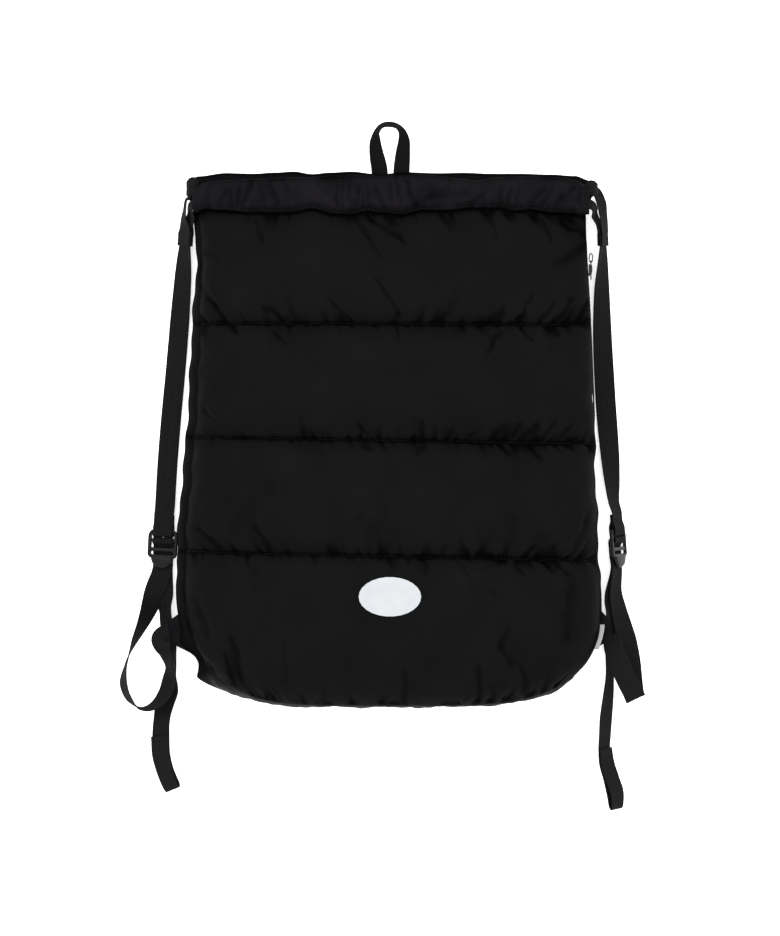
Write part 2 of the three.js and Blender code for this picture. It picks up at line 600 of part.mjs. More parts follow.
// An extruded outline in a buckle's own axes, with its height along n
function plate(shape, low, high) {
  const geometry = new THREE.ExtrudeGeometry(shape, { depth: high - low, bevelEnabled: false, curveSegments: 5 })
  return geometry.translate(0, 0, low)
}

function toManifold(geometry) {
  const bare = geometry.clone()
  bare.deleteAttribute('normal')
  bare.deleteAttribute('uv')
  const merged = mergeVertices(bare, 1e-4)
  return new wasm.Manifold(new wasm.Mesh({
    numProp: 3,
    vertProperties: new Float32Array(merged.getAttribute('position').array),
    triVerts: new Uint32Array(merged.getIndex().array),
  }))
}

function fromManifold(body) {
  const mesh = body.getMesh()
  const geometry = new THREE.BufferGeometry()
  geometry.setAttribute('position', new THREE.Float32BufferAttribute(mesh.vertProperties, 3))
  geometry.setIndex(new THREE.BufferAttribute(mesh.triVerts, 1))
  return geometry
}

const fuse = (first, ...rest) => fromManifold(rest.reduce((sum, g) => sum.add(toManifold(g)), toManifold(first)))

function rect(low, high, half) {
  const shape = new THREE.Shape()
  shape.moveTo(-half, low)
  shape.lineTo(half, low)
  shape.lineTo(half, high)
  shape.lineTo(-half, high)
  shape.closePath()
  return shape
}

// A ladder-lock: a frame with rounded shoulders, two cross bars and a rounded lip to lift it by
function buckle(name) {
  const half = BUCKLE_W / 2
  const rail = half - WEB_W / 2 - 1
  const round = 4
  const frame = new THREE.Shape()
  frame.moveTo(-half, LIP.high - 2)
  frame.lineTo(half, LIP.high - 2)
  frame.lineTo(half, TOP_BAR.high - round)
  frame.quadraticCurveTo(half, TOP_BAR.high, half - round, TOP_BAR.high)
  frame.lineTo(round - half, TOP_BAR.high)
  frame.quadraticCurveTo(-half, TOP_BAR.high, -half, TOP_BAR.high - round)
  frame.closePath()
  frame.holes.push(rect(LIP.high, TOP_BAR.low, half - rail))
  const lip = new THREE.Shape()
  const lipHalf = BUCKLE_W * 0.37
  lip.moveTo(-lipHalf, LIP.high - 1)
  lip.absellipse(0, LIP.high - 1, lipHalf, LIP.high - 1 - LIP.low, Math.PI, 2 * Math.PI)
  lip.closePath()
  const low = -BAR_T / 2 + 0.3
  const bars = [BAR_A, BAR_B].map((bar) => plate(rect(bar.low, bar.high, half - rail / 2), -BAR_T / 2, BAR_T / 2))
  const body = fuse(plate(frame, low, BUCKLE_T / 2), plate(lip, low, BUCKLE_T / 2 + 0.5), ...bars,
    plate(rect(TOP_BAR.low, TOP_BAR.high - round / 2, half - rail / 2), -BUCKLE_T / 2, BUCKLE_T / 2 - 0.2))
  const { middle, u, v, n } = buckleFrame(name)
  const right = SIDES[name] > 0 ? u : u.clone().negate()
  const place = new THREE.Matrix4().makeBasis(right, v, n).setPosition(middle)
  return body.applyMatrix4(place)
}

// A corner tab: its root follows the side of the back panel, its tip is as wide as the webbing
const TAB = {
  left: { from: 0.812, to: 0.9, tip: 1.034, at: 0.851, high: 0.2 },
  right: { from: 0.806, to: 0.885, tip: 1.043, at: 0.848, high: 0.215 },
}

function cornerTab(name) {
  const side = SIDES[name]
  const { from, to, tip, at, high } = TAB[name]
  const z = high * DEPTH
  const rootAt = (share) => {
    const w = share + BACK_RISE[name] * turn(share + 0.03)
    let best = 0
    for (const u of steps(60, 0.55, 1)) {
      const p = backPoint(side * u, w)
      if (Math.abs(p.z - z) < 6) best = Math.max(best, Math.abs(p.x))
    }
    return best + 2 * GAP
  }
  const shape = new THREE.Shape()
  const roots = steps(3, from, to)
  const tipHalf = WEB_W / 2
  const y = (share) => (ORIGIN - share) * BODY_L
  shape.moveTo(side * rootAt(roots[0]), y(roots[0]))
  roots.slice(1).forEach((share) => shape.lineTo(side * rootAt(share), y(share)))
  shape.lineTo(side * (tip * HALF_W - GAP), y(at) - tipHalf)
  shape.lineTo(side * (tip * HALF_W - GAP), y(at) + tipHalf)
  shape.closePath()
  return plate(shape, z - TAB_T / 2, z + TAB_T / 2)
}

// The bare oval patch follows the padded front
const PATCH = { out: 0.009, at: 0.777 }

function ovalPatch() {
  const rings = [0.55, 1]
  const around = 26
  const wOf = (y) => ORIGIN - y / BODY_L
  const place = (x, y, lift) => {
    const w = wOf(y)
    const half = sideSeam(0, w).half
    let u = x / half
    for (let i = 0; i < 6; i += 1) u += (x - frontPoint(u, w).x) / half
    return new THREE.Vector3(x, y, frontPoint(u, w).z + lift)
  }
  const [cx, cy] = [PATCH.out * HALF_W, (ORIGIN - PATCH.at) * BODY_L]
  const layer = (lift) => [place(cx, cy, lift), ...rings.flatMap((r) => steps(around, 0, 2 * Math.PI).slice(0, -1)
    .map((a) => place(cx + r * PATCH_W / 2 * Math.cos(a), cy + r * PATCH_H / 2 * Math.sin(a), lift)))]
  const points = [...layer(GAP + PATCH_T), ...layer(GAP)]
  const shift = points.length / 2
  const id = (r, i) => (r === 0 ? 0 : 1 + (r - 1) * around + i % around)
  const faces = []
  for (let i = 0; i < around; i += 1) {
    faces.push([0, id(1, i), id(1, i + 1)], [shift, shift + id(1, i + 1), shift + id(1, i)])
    for (let r = 1; r < rings.length; r += 1) {
      const [a, b, c, d] = [id(r, i), id(r + 1, i), id(r + 1, i + 1), id(r, i + 1)]
      faces.push([a, b, c], [a, c, d], [shift + a, shift + c, shift + b], [shift + a, shift + d, shift + c])
    }
    const [a, b] = [id(rings.length, i), id(rings.length, i + 1)]
    faces.push([a, shift + a, shift + b], [a, shift + b, b])
  }
  return solid(points, faces)
}

// A strip along the right side seam, from its section at each place
const zipPlace = (share) => {
  const { half, rim } = sideSeam(1, share)
  return new THREE.Vector3(half, (ORIGIN - share) * BODY_L, rim)
}

function seamStrip(shares, low, high, thick) {
  const corners = [[low, -1], [high, -1], [high, 1], [low, 1]]
  const points = shares.flatMap((share) => corners.map(([x, z]) =>
    zipPlace(share).add(new THREE.Vector3(x, 0, z * thick / 2))))
  const faces = []
  for (let k = 0; k < shares.length - 1; k += 1) {
    for (let i = 0; i < 4; i += 1) {
      const [a, b] = [4 * k + i, 4 * k + (i + 1) % 4]
      faces.push([a, b, b + 4], [a, b + 4, a + 4])
    }
  }
  const z = 4 * (shares.length - 1)
  faces.push([0, 2, 1], [0, 3, 2], [z, z + 1, z + 2], [z, z + 2, z + 3])
  return solid(points, faces)
}

// The blank side tag stands out of the right side seam, above the corner tab, and the zip is in the same seam
const TAG_AT = 0.836
const SLIDER_AT = 0.117
const TAG_ROOT = -0.55
const sideTag = () => seamStrip(steps(6, TAG_AT, TAG_AT + TAG_L / BODY_L), TAG_ROOT, TAG_ROOT + TAG_OUT, TAG_T)
const zipChain = () => seamStrip(steps(12, ZIP.from + 0.03, ZIP.to - 0.045), GAP - ZIP_T, GAP, ZIP_W - 4 * GAP)

// The slider rides on the chain, with an eye at its upper end that the pull swings in
const EYE = { hole: 1, rim: 2.1, thick: 1 }
const sliderPlace = zipPlace(SLIDER_AT).add(new THREE.Vector3(0.7, 0, 0))
const EYE_OUT = SLIDER_T * 0.62
const eyePlace = sliderPlace.clone().add(new THREE.Vector3(EYE_OUT, SLIDER_L / 2 + EYE.rim - 0.4, 0))

function zipSlider() {
  const side = new THREE.Shape()
  const half = SLIDER_L / 2
  side.moveTo(0, -half)
  side.lineTo(SLIDER_T * 0.7, -half)
  side.lineTo(SLIDER_T, -half * 0.3)
  side.lineTo(SLIDER_T, half * 0.5)
  side.lineTo(SLIDER_T * 0.8, half)
  side.lineTo(0, half)
  side.closePath()
  const body = plate(side, -SLIDER_W / 2, SLIDER_W / 2)
  const ring = (radius) => {
    const circle = new THREE.Shape()
    circle.absarc(0, 0, radius, 0, 2 * Math.PI)
    return circle
  }
  const eye = ring(EYE.rim)
  eye.holes.push(ring(EYE.hole))
  const eyes = [[EYE_OUT, half + EYE.rim - 0.4], [EYE_OUT, -half - EYE.rim + 0.4]].map(([x, y]) =>
    plate(eye, -EYE.thick / 2, EYE.thick / 2).rotateY(Math.PI / 2).translate(x, y, 0))
  return fuse(body, ...eyes).translate(sliderPlace.x, sliderPlace.y, sliderPlace.z)
}

// The pull is an oval wire ring that stands in the eye
function zipPull() {
  const wire = PULL_WIRE / 2
  const [a, b] = [PULL_W / 2 - wire, PULL_L / 2 - wire]
  const around = 18
  const sides = 6
  const points = []
  for (let k = 0; k < around; k += 1) {
    const t = k / around * 2 * Math.PI - Math.PI / 2
    const middle = new THREE.Vector3(a * Math.cos(t), b * Math.sin(t) + b, 0)
    const out = new THREE.Vector3(Math.cos(t) / a, Math.sin(t) / b, 0).normalize()
    for (let i = 0; i < sides; i += 1) {
      const c = i / sides * 2 * Math.PI
      points.push(middle.clone().addScaledVector(out, wire * Math.cos(c)).setZ(wire * Math.sin(c)))
    }
  }
  const faces = []
  const id = (k, i) => (k % around) * sides + i % sides
  for (let k = 0; k < around; k += 1) {
    for (let i = 0; i < sides; i += 1) {
      faces.push([id(k, i), id(k + 1, i), id(k + 1, i + 1)], [id(k, i), id(k + 1, i + 1), id(k, i + 1)])
    }
  }
  return solid(points, faces).translate(eyePlace.x, eyePlace.y, eyePlace.z)
}

const finish = (color, roughness, metalness = 0) => ({ color, roughness, metalness })
const QUILT = finish(0x1b1b1c, 0.6)
const PLAIN_CLOTH = finish(0x232127, 0.65)
const WEBBING = finish(0x1f1f1f, 0.8)
const PLASTIC = finish(0x242523, 0.45)
const METAL = finish(0x1a1a1a, 0.4, 0.6)
const WHITE = finish(0xe8ecf0, 0.5)

const group = new THREE.Group()

function add(name, geometry, look) {
  const mesh = new THREE.Mesh(geometry, new THREE.MeshStandardMaterial(look))
  mesh.name = name
  group.add(mesh)
}

add('front_panel', panel(frontLayers), QUILT)
add('back_panel', flipped(panel(backLayers)), QUILT)
add('bottom_gusset', gusset(), PLAIN_CLOTH)
add('front_casing', casing('front'), PLAIN_CLOTH)
add('back_casing', casing('back'), PLAIN_CLOTH)
for (const name of ['left', 'right']) {
  add(`drawstring_${name}`, drawstring(name), WEBBING)
  add(`shoulder_strap_${name}`, shoulderStrap(name), WEBBING)
  add(`buckle_${name}`, buckle(name), PLASTIC)
  add(`lower_strap_${name}`, lowerStrap(name), WEBBING)
  add(`corner_tab_${name}`, cornerTab(name), PLAIN_CLOTH)
}
add('hang_loop', webbing(HANG.map((row) => stop(1, row, LOOP_W))), WEBBING)
add('oval_patch', ovalPatch(), WHITE)
add('side_tag', sideTag(), WHITE)
add('zip_chain', zipChain(), METAL)
add('zip_slider', zipSlider(), METAL)
add('zip_pull', zipPull(), METAL)

export default group
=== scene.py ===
from math import atan, copysign, cos, hypot, pi, radians as rad, sin, sqrt

import bmesh
import bpy
import numpy as np
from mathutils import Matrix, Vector


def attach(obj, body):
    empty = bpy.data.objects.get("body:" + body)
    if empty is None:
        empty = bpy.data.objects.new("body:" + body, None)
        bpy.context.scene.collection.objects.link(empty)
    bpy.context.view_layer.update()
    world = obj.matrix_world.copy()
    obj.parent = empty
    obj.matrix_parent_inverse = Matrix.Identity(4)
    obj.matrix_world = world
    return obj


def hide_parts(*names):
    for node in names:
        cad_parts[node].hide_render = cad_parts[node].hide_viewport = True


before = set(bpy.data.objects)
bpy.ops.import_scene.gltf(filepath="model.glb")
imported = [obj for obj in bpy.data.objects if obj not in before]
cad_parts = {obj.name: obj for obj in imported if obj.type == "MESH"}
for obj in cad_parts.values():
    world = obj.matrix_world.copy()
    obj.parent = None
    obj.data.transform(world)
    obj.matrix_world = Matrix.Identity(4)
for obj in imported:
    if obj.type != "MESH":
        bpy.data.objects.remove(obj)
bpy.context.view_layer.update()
MM = 0.001

# Driving dimensions, the same as the part's, in millimetres
HALF_W, BODY_L, DEPTH = 196.4, 454.5, 90.0
PAD_T, SEAM_T, QUILT_DIP, BACK_DIP, GAP = 13.0, 3.0, 9.0, 6.0, 0.3
CASING_H, CASING_T, CASING_FLARE = 29.0, 10.0, 5.0
WEB_W, WEB_T, LOOP_W = 19.0, 1.4, 15.0
BUCKLE_L, BUCKLE_T = 36.8, 4.0
BAR_T, MIDDLE_BAR, LOWER_BAR = 3.0, (5.8, 8.7), (-2.8, 0.9)
SEAMS = [0, 0.227, 0.46, 0.694, 1]
ORIGIN = (SEAMS[2] + SEAMS[3]) / 2
MOUTH_Y = ORIGIN * BODY_L

# The photograph: millimetres in a pixel, the pixel that shows the origin, and its middle and height
PX_MM, PX_X, PX_Y = 0.92, 388, 496.9
PHOTO_X, PHOTO_Y, PHOTO_H = 390, 468, 936

SIDE = np.array([
    [0, 0.895, 0.93, 0.24], [0.057, 0.882, 0.932, 0.27], [0.227, 0.885, 0.952, 0.35], [0.46, 0.912, 0.972, 0.4],
    [0.6, 0.942, 0.977, 0.4], [0.694, 0.955, 0.986, 0.38], [0.8, 0.955, 0.997, 0.34], [0.86, 0.925, 0.988, 0.3],
    [0.912, 0.862, 0.935, 0.26], [0.939, 0.872, 0.88, 0.2]])
CROWN = np.array([[0, 0.58], [0.11, 0.74], [0.227, 0.86], [0.46, 0.97], [0.694, 1.02], [0.8, 1]])
FRONT_RISE, BACK_RISE = (0.088, 0.061), (0.061, 0.061)
EDGE_HIGH, FOOT_HIGH, BACK_FLAT, BACK_BULGE = 0.72, 0.1, 1.35, (0.04, 0.004)
PUCKERS = [
    (0, -0.6, -1, 0.2, 0.3), (0, -0.11, -1, 0.25, 0.42), (0, 0.5, -1, 0.15, 0.3), (0, 0.76, -1, 0.5, 0.4),
    (1, -0.72, 1, -0.2, 0.4), (1, -0.22, 1, 0.1, 0.35), (1, 0.05, 1, 0.5, 0.4), (1, 0.53, 1, 0.1, 0.4),
    (1, 0.84, 1, 0.4, 0.45), (1, 0.48, -1, 0.1, 0.4), (2, -0.75, 1, 0.3, 0.4), (2, -0.4, 1, 0.1, 0.3),
    (2, 0.4, 1, -0.1, 0.35), (2, 0.8, 1, 0.4, 0.5), (2, -0.72, -1, -0.3, 0.4), (2, 0.16, -1, 0.1, 0.25),
    (3, -0.8, 1, 0.3, 0.35), (3, 0.7, 1, 0.3, 0.4), (3, -0.7, -1, 0.2, 0.3), (3, 0.17, -1, 0.05, 0.3),
    (3, 0.5, -1, 0.1, 0.3), (4, -0.7, 1, -0.1, 0.4), (4, 0.52, 1, 0.15, 0.35)]


# Shapes of the part, over arrays
def column(rows, col, at):
    """A smooth curve through a table's column, read at the first column's values."""
    xs, ys = rows[:, 0], rows[:, col]
    n = len(xs)
    x = np.clip(at, xs[0], xs[-1])
    i = np.clip(np.searchsorted(xs, x, side="left") - 1, 0, n - 2)
    slopes = (ys[1:] - ys[:-1]) / (xs[1:] - xs[:-1])
    before = np.where(i > 0, (slopes[np.maximum(i - 1, 0)] + slopes[i]) / 2, slopes[i])
    after = np.where(i < n - 2, (slopes[i] + slopes[np.minimum(i + 1, n - 2)]) / 2, slopes[i])
    step = xs[i + 1] - xs[i]
    t = (x - xs[i]) / step
    return ((2 * t**3 - 3 * t**2 + 1) * ys[i] + (t**3 - 2 * t**2 + t) * step * before
            + (3 * t**2 - 2 * t**3) * ys[i + 1] + (t**3 - t**2) * step * after)


def puff(w):
    """How full the padding is: 0 at the seams and 1 in the middle of a band."""
    band = np.clip(np.searchsorted(SEAMS, w, side="left") - 1, 0, 3)
    low = np.array(SEAMS)[band]
    t = (w - low) / (np.array(SEAMS)[band + 1] - low)
    return np.maximum(0, 1 - np.abs(2 * t - 1) ** 2.6) ** 0.75


def mix(a, b, t):
    return a + (b - a) * t


def clamp(t):
    return np.clip(t, 0, 1)


def bell(t):
    return np.exp(-t**2)


def smooth_step(t):
    t = clamp(t)
    return t * t * (3 - 2 * t)


def spread(u):
    return 0.7 * np.sin(u * np.pi / 2) + 0.3 * u


def dome(s, n):
    return np.maximum(0, 1 - np.abs(s) ** n) ** (1 / n)


def turn(w):
    return np.maximum(0, (w - SEAMS[3]) / (1 - SEAMS[3])) ** 1.5


def across(s, pair):
    return mix(pair[0], pair[1], (s + 1) / 2)


def side_seam(s, at):
    return mix(column(SIDE, 1, at), column(SIDE, 2, at), (s + 1) / 2) * HALF_W, column(SIDE, 3, at) * DEPTH


def zip_opening(s, at):
    inside = clamp((at - 0.028) / 0.02) * clamp((0.46 - at) / 0.02)
    return np.where(s > 0, inside * (2.5 + GAP / 2) * np.abs(s) ** 4, 0)


def pucker(s, w):
    total = np.zeros_like(s)
    for seam, at, way, lean, length in PUCKERS:
        band = seam - 1 if way > 0 else seam
        reach = length * (SEAMS[band + 1] - SEAMS[band])
        run = (SEAMS[seam] - w) * way / reach
        off = (s - at - lean * run * reach * BODY_L / HALF_W) / 0.045
        fold = np.exp(-off * off) * (1 - clamp(run)) ** 0.7
        total += np.where((run < -0.02) | (run > 1), 0, fold)
    return 2.2 * total


def sag(s, w):
    """The seams drop towards the right of the bag: a shift along it, in mm."""
    left = np.interp(w, SEAMS, [0, 0.5, 1.8, 3.2, 0])
    right = np.interp(w, SEAMS, [0, -0.9, -4.4, -5, 0])
    foot = (1 - clamp((w - SEAMS[3]) / (1 - SEAMS[3]))) ** 1.5
    return mix(left, right, (s + 1) / 2) * foot


def wander(s, w):
    """Side edges that aren't straight between the seams: a shift outwards, in mm, clear of zip and tabs."""
    free = smooth_step((0.78 - w) / 0.05) * smooth_step((w - np.where(s < 0, 0.06, 0.27)) / 0.05)
    slow = 0.7 * np.sin(41 * w + np.where(s < 0, 0.4, 2.1))
    quick = 0.6 * np.sin(97 * w + np.where(s < 0, 1.3, 0.2))
    return np.sign(s) * np.abs(s) ** 9 * (slow + quick - 0.35) * free


def shared(u, w, rises):
    """What both panels have in common: s, x, y, the side seam's height and the panel's distance from it."""
    s = spread(u)
    rise = across(s, rises) * turn(w)
    half, rim = side_seam(s, w - rise)
    y = (ORIGIN - w + rise * np.abs(s) ** 5) * BODY_L + sag(s, w)
    return s, s * half + wander(s, w), y, rim, GAP / 2 + zip_opening(s, w - rise)


def front_point(u, w):
    s, x, y, rim, gap = shared(u, w, FRONT_RISE)
    fall = clamp((w - 0.8) / 0.2)
    crown = mix(EDGE_HIGH, column(CROWN, 1, w), (1 - fall**2.6) ** (1 / 2.2)) * DEPTH
    up = dome(s, mix(2.4, 3, turn(w)))
    dip = QUILT_DIP * (1 - puff(w)) + pucker(s, w)
    return np.stack([x, y, mix(rim + gap, crown, up) - dip * up**0.6], -1)


def back_point(u, w):
    s, x, y, rim, gap = shared(u, w, BACK_RISE)
    down = np.minimum(1, BACK_FLAT * dome(s, 2.4))
    wall = smooth_step((w - 0.1) / 0.15) * np.where(w < 0.86, 1, bell((w - 0.86) / 0.12))
    left = 3.6 * wall + 7.5 * bell((w - 0.912) / 0.022)
    right = 2.6 * smooth_step((w - 0.5) / 0.1) * (1 - smooth_step((w - 0.84) / 0.04))
    bulge = (across(s, BACK_BULGE) * HALF_W + np.where(s < 0, left, right)) * 4 * down * (1 - down)
    seam_lift = np.maximum(0, BACK_DIP * (1 - puff(w)) - 1.3)
    foot = clamp((w - 0.8) / 0.2)
    lift = mix(np.where(w > SEAMS[3], 0, seam_lift), FOOT_HIGH * DEPTH, 1 - (1 - foot**6) ** 0.5)
    lift = np.maximum(lift, np.where((w > SEAMS[3]) & (w < 0.8), seam_lift, 0))
    return np.stack([x + np.sign(s) * bulge, y, mix(rim - gap, lift, down)], -1)


# Smooth seeded noise over a grid, from cosines that are spread over all directions
def ripple(x, y, scale, seed, waves=9, stretch=1.0):
    rng = np.random.default_rng(seed)
    total = np.zeros(np.broadcast(x, y).shape)
    for _ in range(waves):
        a = rng.uniform(0, np.pi)
        k = 2 * np.pi / scale * rng.uniform(0.6, 1.6)
        total += np.cos(k * (x * np.cos(a) * stretch + y * np.sin(a)) + rng.uniform(0, 2 * np.pi))
    return total / sqrt(waves)


def folds(x, d, seed, count, depth, reach, lean=0.0, drift=0.0, crowd=0.0):
    """Valleys and ridges that run away from a seam: x along the seam and d away from it, in mm."""
    rng = np.random.default_rng(seed)
    total = np.zeros(np.broadcast(x, d).shape)
    for k in range(count):
        share = (k + rng.uniform(0.1, 0.9)) / count
        at = HALF_W * (2 * share ** (1 - crowd) - 1)
        size = depth * rng.uniform(0.3, 1.0) * rng.choice([1, 1, 0.7, -0.35])
        wide = rng.uniform(1.6, 3.2)
        length = reach * rng.uniform(0.35, 1.25)
        slope = lean * at / HALF_W + drift + rng.uniform(-0.35, 0.35)
        fade = clamp(1 - d / length) ** 1.2
        total += size * bell((x - at - slope * d) / (wide * (1 + d / 25))) * fade
    return total


def crease(x, y, start, end, wide, deep):
    """One fold between two pixels of the photograph, with its width and depth in mm."""
    (ax, ay), (bx, by) = px(*start), px(*end)
    dx, dy = bx - ax, by - ay
    length = hypot(dx, dy)
    t = ((x - ax) * dx + (y - ay) * dy) / length**2
    off = ((x - ax) * dy - (y - ay) * dx) / length
    fade = clamp(np.minimum(t, 1 - t) * 4 + 0.6)
    return deep * bell(off / wide) * fade * (t > -0.15) * (t < 1.15)


def px(x, y):
    """A pixel's place on the bag, in mm."""
    return (x - PX_X) * PX_MM, (PX_Y - y) * PX_MM


# Long folds of the front, by their ends in the photograph: x, y to x, y, width and depth in mm
CREASES = [
    (374, 276, 401, 319, 3.2, 1.4), (331, 301, 351, 322, 2.8, 1.1), (263, 306, 288, 322, 2.8, 1.3),
    (203, 296, 226, 318, 3, 1.3), (504, 304, 494, 320, 2.6, 1.4), (532, 295, 519, 322, 2.8, 1.5),
    (554, 302, 543, 321, 2.6, 1.3), (572, 296, 560, 320, 2.8, 1.4), (588, 300, 577, 321, 2.6, 1.3),
    (500, 332, 487, 353, 3, 1.3), (519, 327, 535, 343, 2.8, 1.4), (219, 322, 237, 333, 2.6, 1.2),
    (273, 332, 286, 344, 3, 1.1), (397, 327, 397, 345, 2.8, 1.1), (545, 327, 556, 338, 2.4, 1.1),
    (355, 216, 384, 260, 3.2, 1.3), (366, 216, 408, 243, 3, 1.2), (490, 216, 497, 244, 2.8, 1),
    (541, 216, 552, 240, 3, 1.1), (556, 219, 590, 236, 3, 1.2), (590, 242, 554, 266, 4, 1.1),
    (256, 218, 263, 242, 3, 1), (200, 250, 222, 263, 3.4, 1.1), (198, 278, 216, 308, 3.4, 1.1),
    (204, 410, 228, 434, 3, 1.3), (236, 412, 250, 436, 3, 1.1), (298, 414, 306, 436, 2.8, 1),
    (357, 424, 369, 436, 2.6, 1.2), (420, 420, 423, 437, 2.8, 1.1), (483, 428, 470, 437, 2.6, 1.2),
    (505, 424, 491, 439, 2.8, 1.3), (521, 424, 510, 438, 2.6, 1.3), (537, 426, 522, 439, 2.6, 1.3),
    (556, 420, 541, 441, 2.8, 1.3), (572, 424, 556, 442, 2.8, 1.3), (424, 444, 415, 457, 3, 1.2),
    (360, 443, 373, 450, 2.6, 1.1), (499, 443, 510, 455, 2.6, 1.2), (523, 443, 542, 460, 2.8, 1.4),
    (196, 528, 224, 549, 3.2, 1.2), (256, 526, 272, 550, 3, 1.1), (462, 536, 459, 552, 2.8, 1.1),
    (534, 546, 521, 558, 2.6, 1.2), (557, 543, 544, 559, 2.8, 1.3), (588, 512, 572, 556, 3.4, 1.2),
    (512, 562, 523, 575, 2.6, 1.2), (556, 563, 568, 575, 2.6, 1.1), (232, 634, 243, 682, 5, 1.5),
    (226, 652, 235, 688, 3.6, 1.4), (284, 640, 287, 684, 4.4, 0.9), (424, 560, 427, 602, 4, 0.8),
    (464, 562, 476, 602, 4.2, 0.9), (493, 586, 497, 624, 4.4, 0.8), (508, 628, 498, 646, 4, 1.2),
    (498, 644, 511, 664, 4, 1.2), (405, 668, 406, 698, 3.8, 1), (478, 664, 479, 700, 3.8, 1.1),
    (521, 664, 526, 694, 3.8, 1.1), (196, 596, 210, 640, 5, 0.9), (572, 580, 564, 640, 6, 0.8),
    (330, 560, 318, 600, 5, 0.6), (256, 566, 262, 600, 5, 0.6), (386, 224, 402, 236, 3, 0.9),
    (440, 214, 452, 232, 3, 0.9), (308, 216, 312, 236, 3, 0.8)]


# Edges of the mouth in the photograph: across, then up or down from the plain edge, in its pixels
MOUTH_LOW = np.array([(190, -4), (197, -3), (223, -1), (250, 1.5), (289, 1.5), (312, -2), (333, 3), (351, 4),
                      (367, 0.5), (386, 2.5), (400, 4), (423, -0.5), (446, -0.5), (474, -3), (498, -3),
                      (516, 0), (530, -1.5), (553, 1.5), (581, 2.5), (594, 0)], float)
FRONT_TOP = np.array([(192, 9), (197, 5.5), (203, 3), (212, 1), (228, 0), (263, -1), (280, -1.8), (296, -2.6),
                      (310, -2.4), (329, -4.2), (345, -3.8), (361, -5), (386, -6), (400, -5.2), (423, -6),
                      (440, -4), (455, -1.5), (477, 0.8), (498, -2.6), (520, -3.6), (538, -4.5), (562, -2.4),
                      (576, 0), (584, 4), (592, 9)], float)
BACK_TOP = np.array([(192, 3), (197, 0.4), (225, -3), (253, -2.4), (275, -3.6), (293, -4.6), (312, -2.1),
                     (330, -3.6), (351, -4.6), (377, -2.1), (409, -3.9), (438, -3), (465, -3.4), (492, -2.4),
                     (520, -2.4), (553, -1.4), (576, 0), (592, 5)], float)


def edge_wave(rows, x):
    """How far an edge is moved up the bag at x, in mm."""
    at = x / PX_MM + PX_X
    i = np.clip(np.searchsorted(rows[:, 0], at) - 1, 0, len(rows) - 2)
    t = (at - rows[i, 0]) / (rows[i + 1, 0] - rows[i, 0])
    return -PX_MM * mix(rows[i, 1], rows[i + 1, 1], smooth_step(t))


def mouth_edge(x):
    return edge_wave(MOUTH_LOW, x) * clamp((1 - np.abs(x) / (0.93 * HALF_W)) * 12)


def front_detail(p, w):
    x, y = p[..., 0], p[..., 1]
    total = 0.3 * ripple(x, y, 120, 3) + 0.13 * ripple(x, y, 34, 5, stretch=1.6)
    x, y = x + 0.9 * ripple(x, y, 17, 71), y + 0.9 * ripple(x, y, 19, 72)
    for i, seam in enumerate(SEAMS):
        d = (w - seam) * BODY_L
        side = 1 + 0.4 * clamp(x / HALF_W)
        far = np.abs(d)
        if i < 4:
            total -= side * folds(x, far, 20 + i, 56, 1.7, 15, 0.35, 0.45, 0.3) * (d > 0)
            total -= folds(x, far, 60 + i, 13, 1.1, 34, 0.3, 0.3, 0.2) * (d > 0)
        if i > 0:
            total -= side * folds(x, far, 40 + i, 62, 2.0, 18, 0.95, -0.05, 0.3) * (d <= 0)
            total -= folds(x, far, 80 + i, 13, 1.2, 40, 0.8, -0.1, 0.2) * (d <= 0)
    for x0, y0, x1, y1, wide, deep in CREASES:
        total -= 0.85 * crease(x, y, (x0, y0), (x1, y1), 0.9 * wide, deep)
    return total


def back_detail(p, w):
    x, y = p[..., 0], p[..., 1]
    total = 0.4 * ripple(x, y, 70, 8)
    for i, seam in enumerate(SEAMS):
        d = np.abs(w - seam) * BODY_L
        total += folds(x, d, 70 + i, 48, 0.8, 20)
    return -np.abs(total) * clamp(1 - np.abs(p[..., 2]) / 400)


def grid_normals(p):
    du = np.gradient(p, axis=1)
    dw = np.gradient(p, axis=0)
    n = np.cross(dw, du)
    return n / np.maximum(1e-9, np.linalg.norm(n, axis=-1, keepdims=True))


def new_object(name, verts, faces, material, smooth=True):
    mesh = bpy.data.meshes.new(name)
    mesh.from_pydata([tuple(v) for v in np.asarray(verts) * MM], [], [tuple(f) for f in faces])
    mesh.update()
    mesh.materials.append(material)
    mesh.polygons.foreach_set("use_smooth", [smooth] * len(mesh.polygons))
    obj = bpy.data.objects.new(name, mesh)
    bpy.context.scene.collection.objects.link(obj)
    return obj


def shade(obj, values):
    """Painted shade for the cloth materials: the share of the light taken off in deep folds and wherever else
    shade falls.
    """
    layer = obj.data.attributes.new("shade", "FLOAT", "POINT")
    full = np.zeros(len(obj.data.vertices), dtype=np.float32)
    full[:values.size] = clamp(values).ravel()
    layer.data.foreach_set("value", full)


def points_of(*grids):
    return np.concatenate([grid.reshape(-1, 3) for grid in grids])


def grid_faces(rows, cols, start=0, flip=False, close=False):
    r, c = np.meshgrid(np.arange(rows - 1), np.arange(cols if close else cols - 1), indexing="ij")
    a = start + r * cols + c
    b = start + r * cols + (c + 1) % cols
    quads = np.stack([a, a + cols, b + cols, b], -1).reshape(-1, 4)
    return quads[:, ::-1] if flip else quads


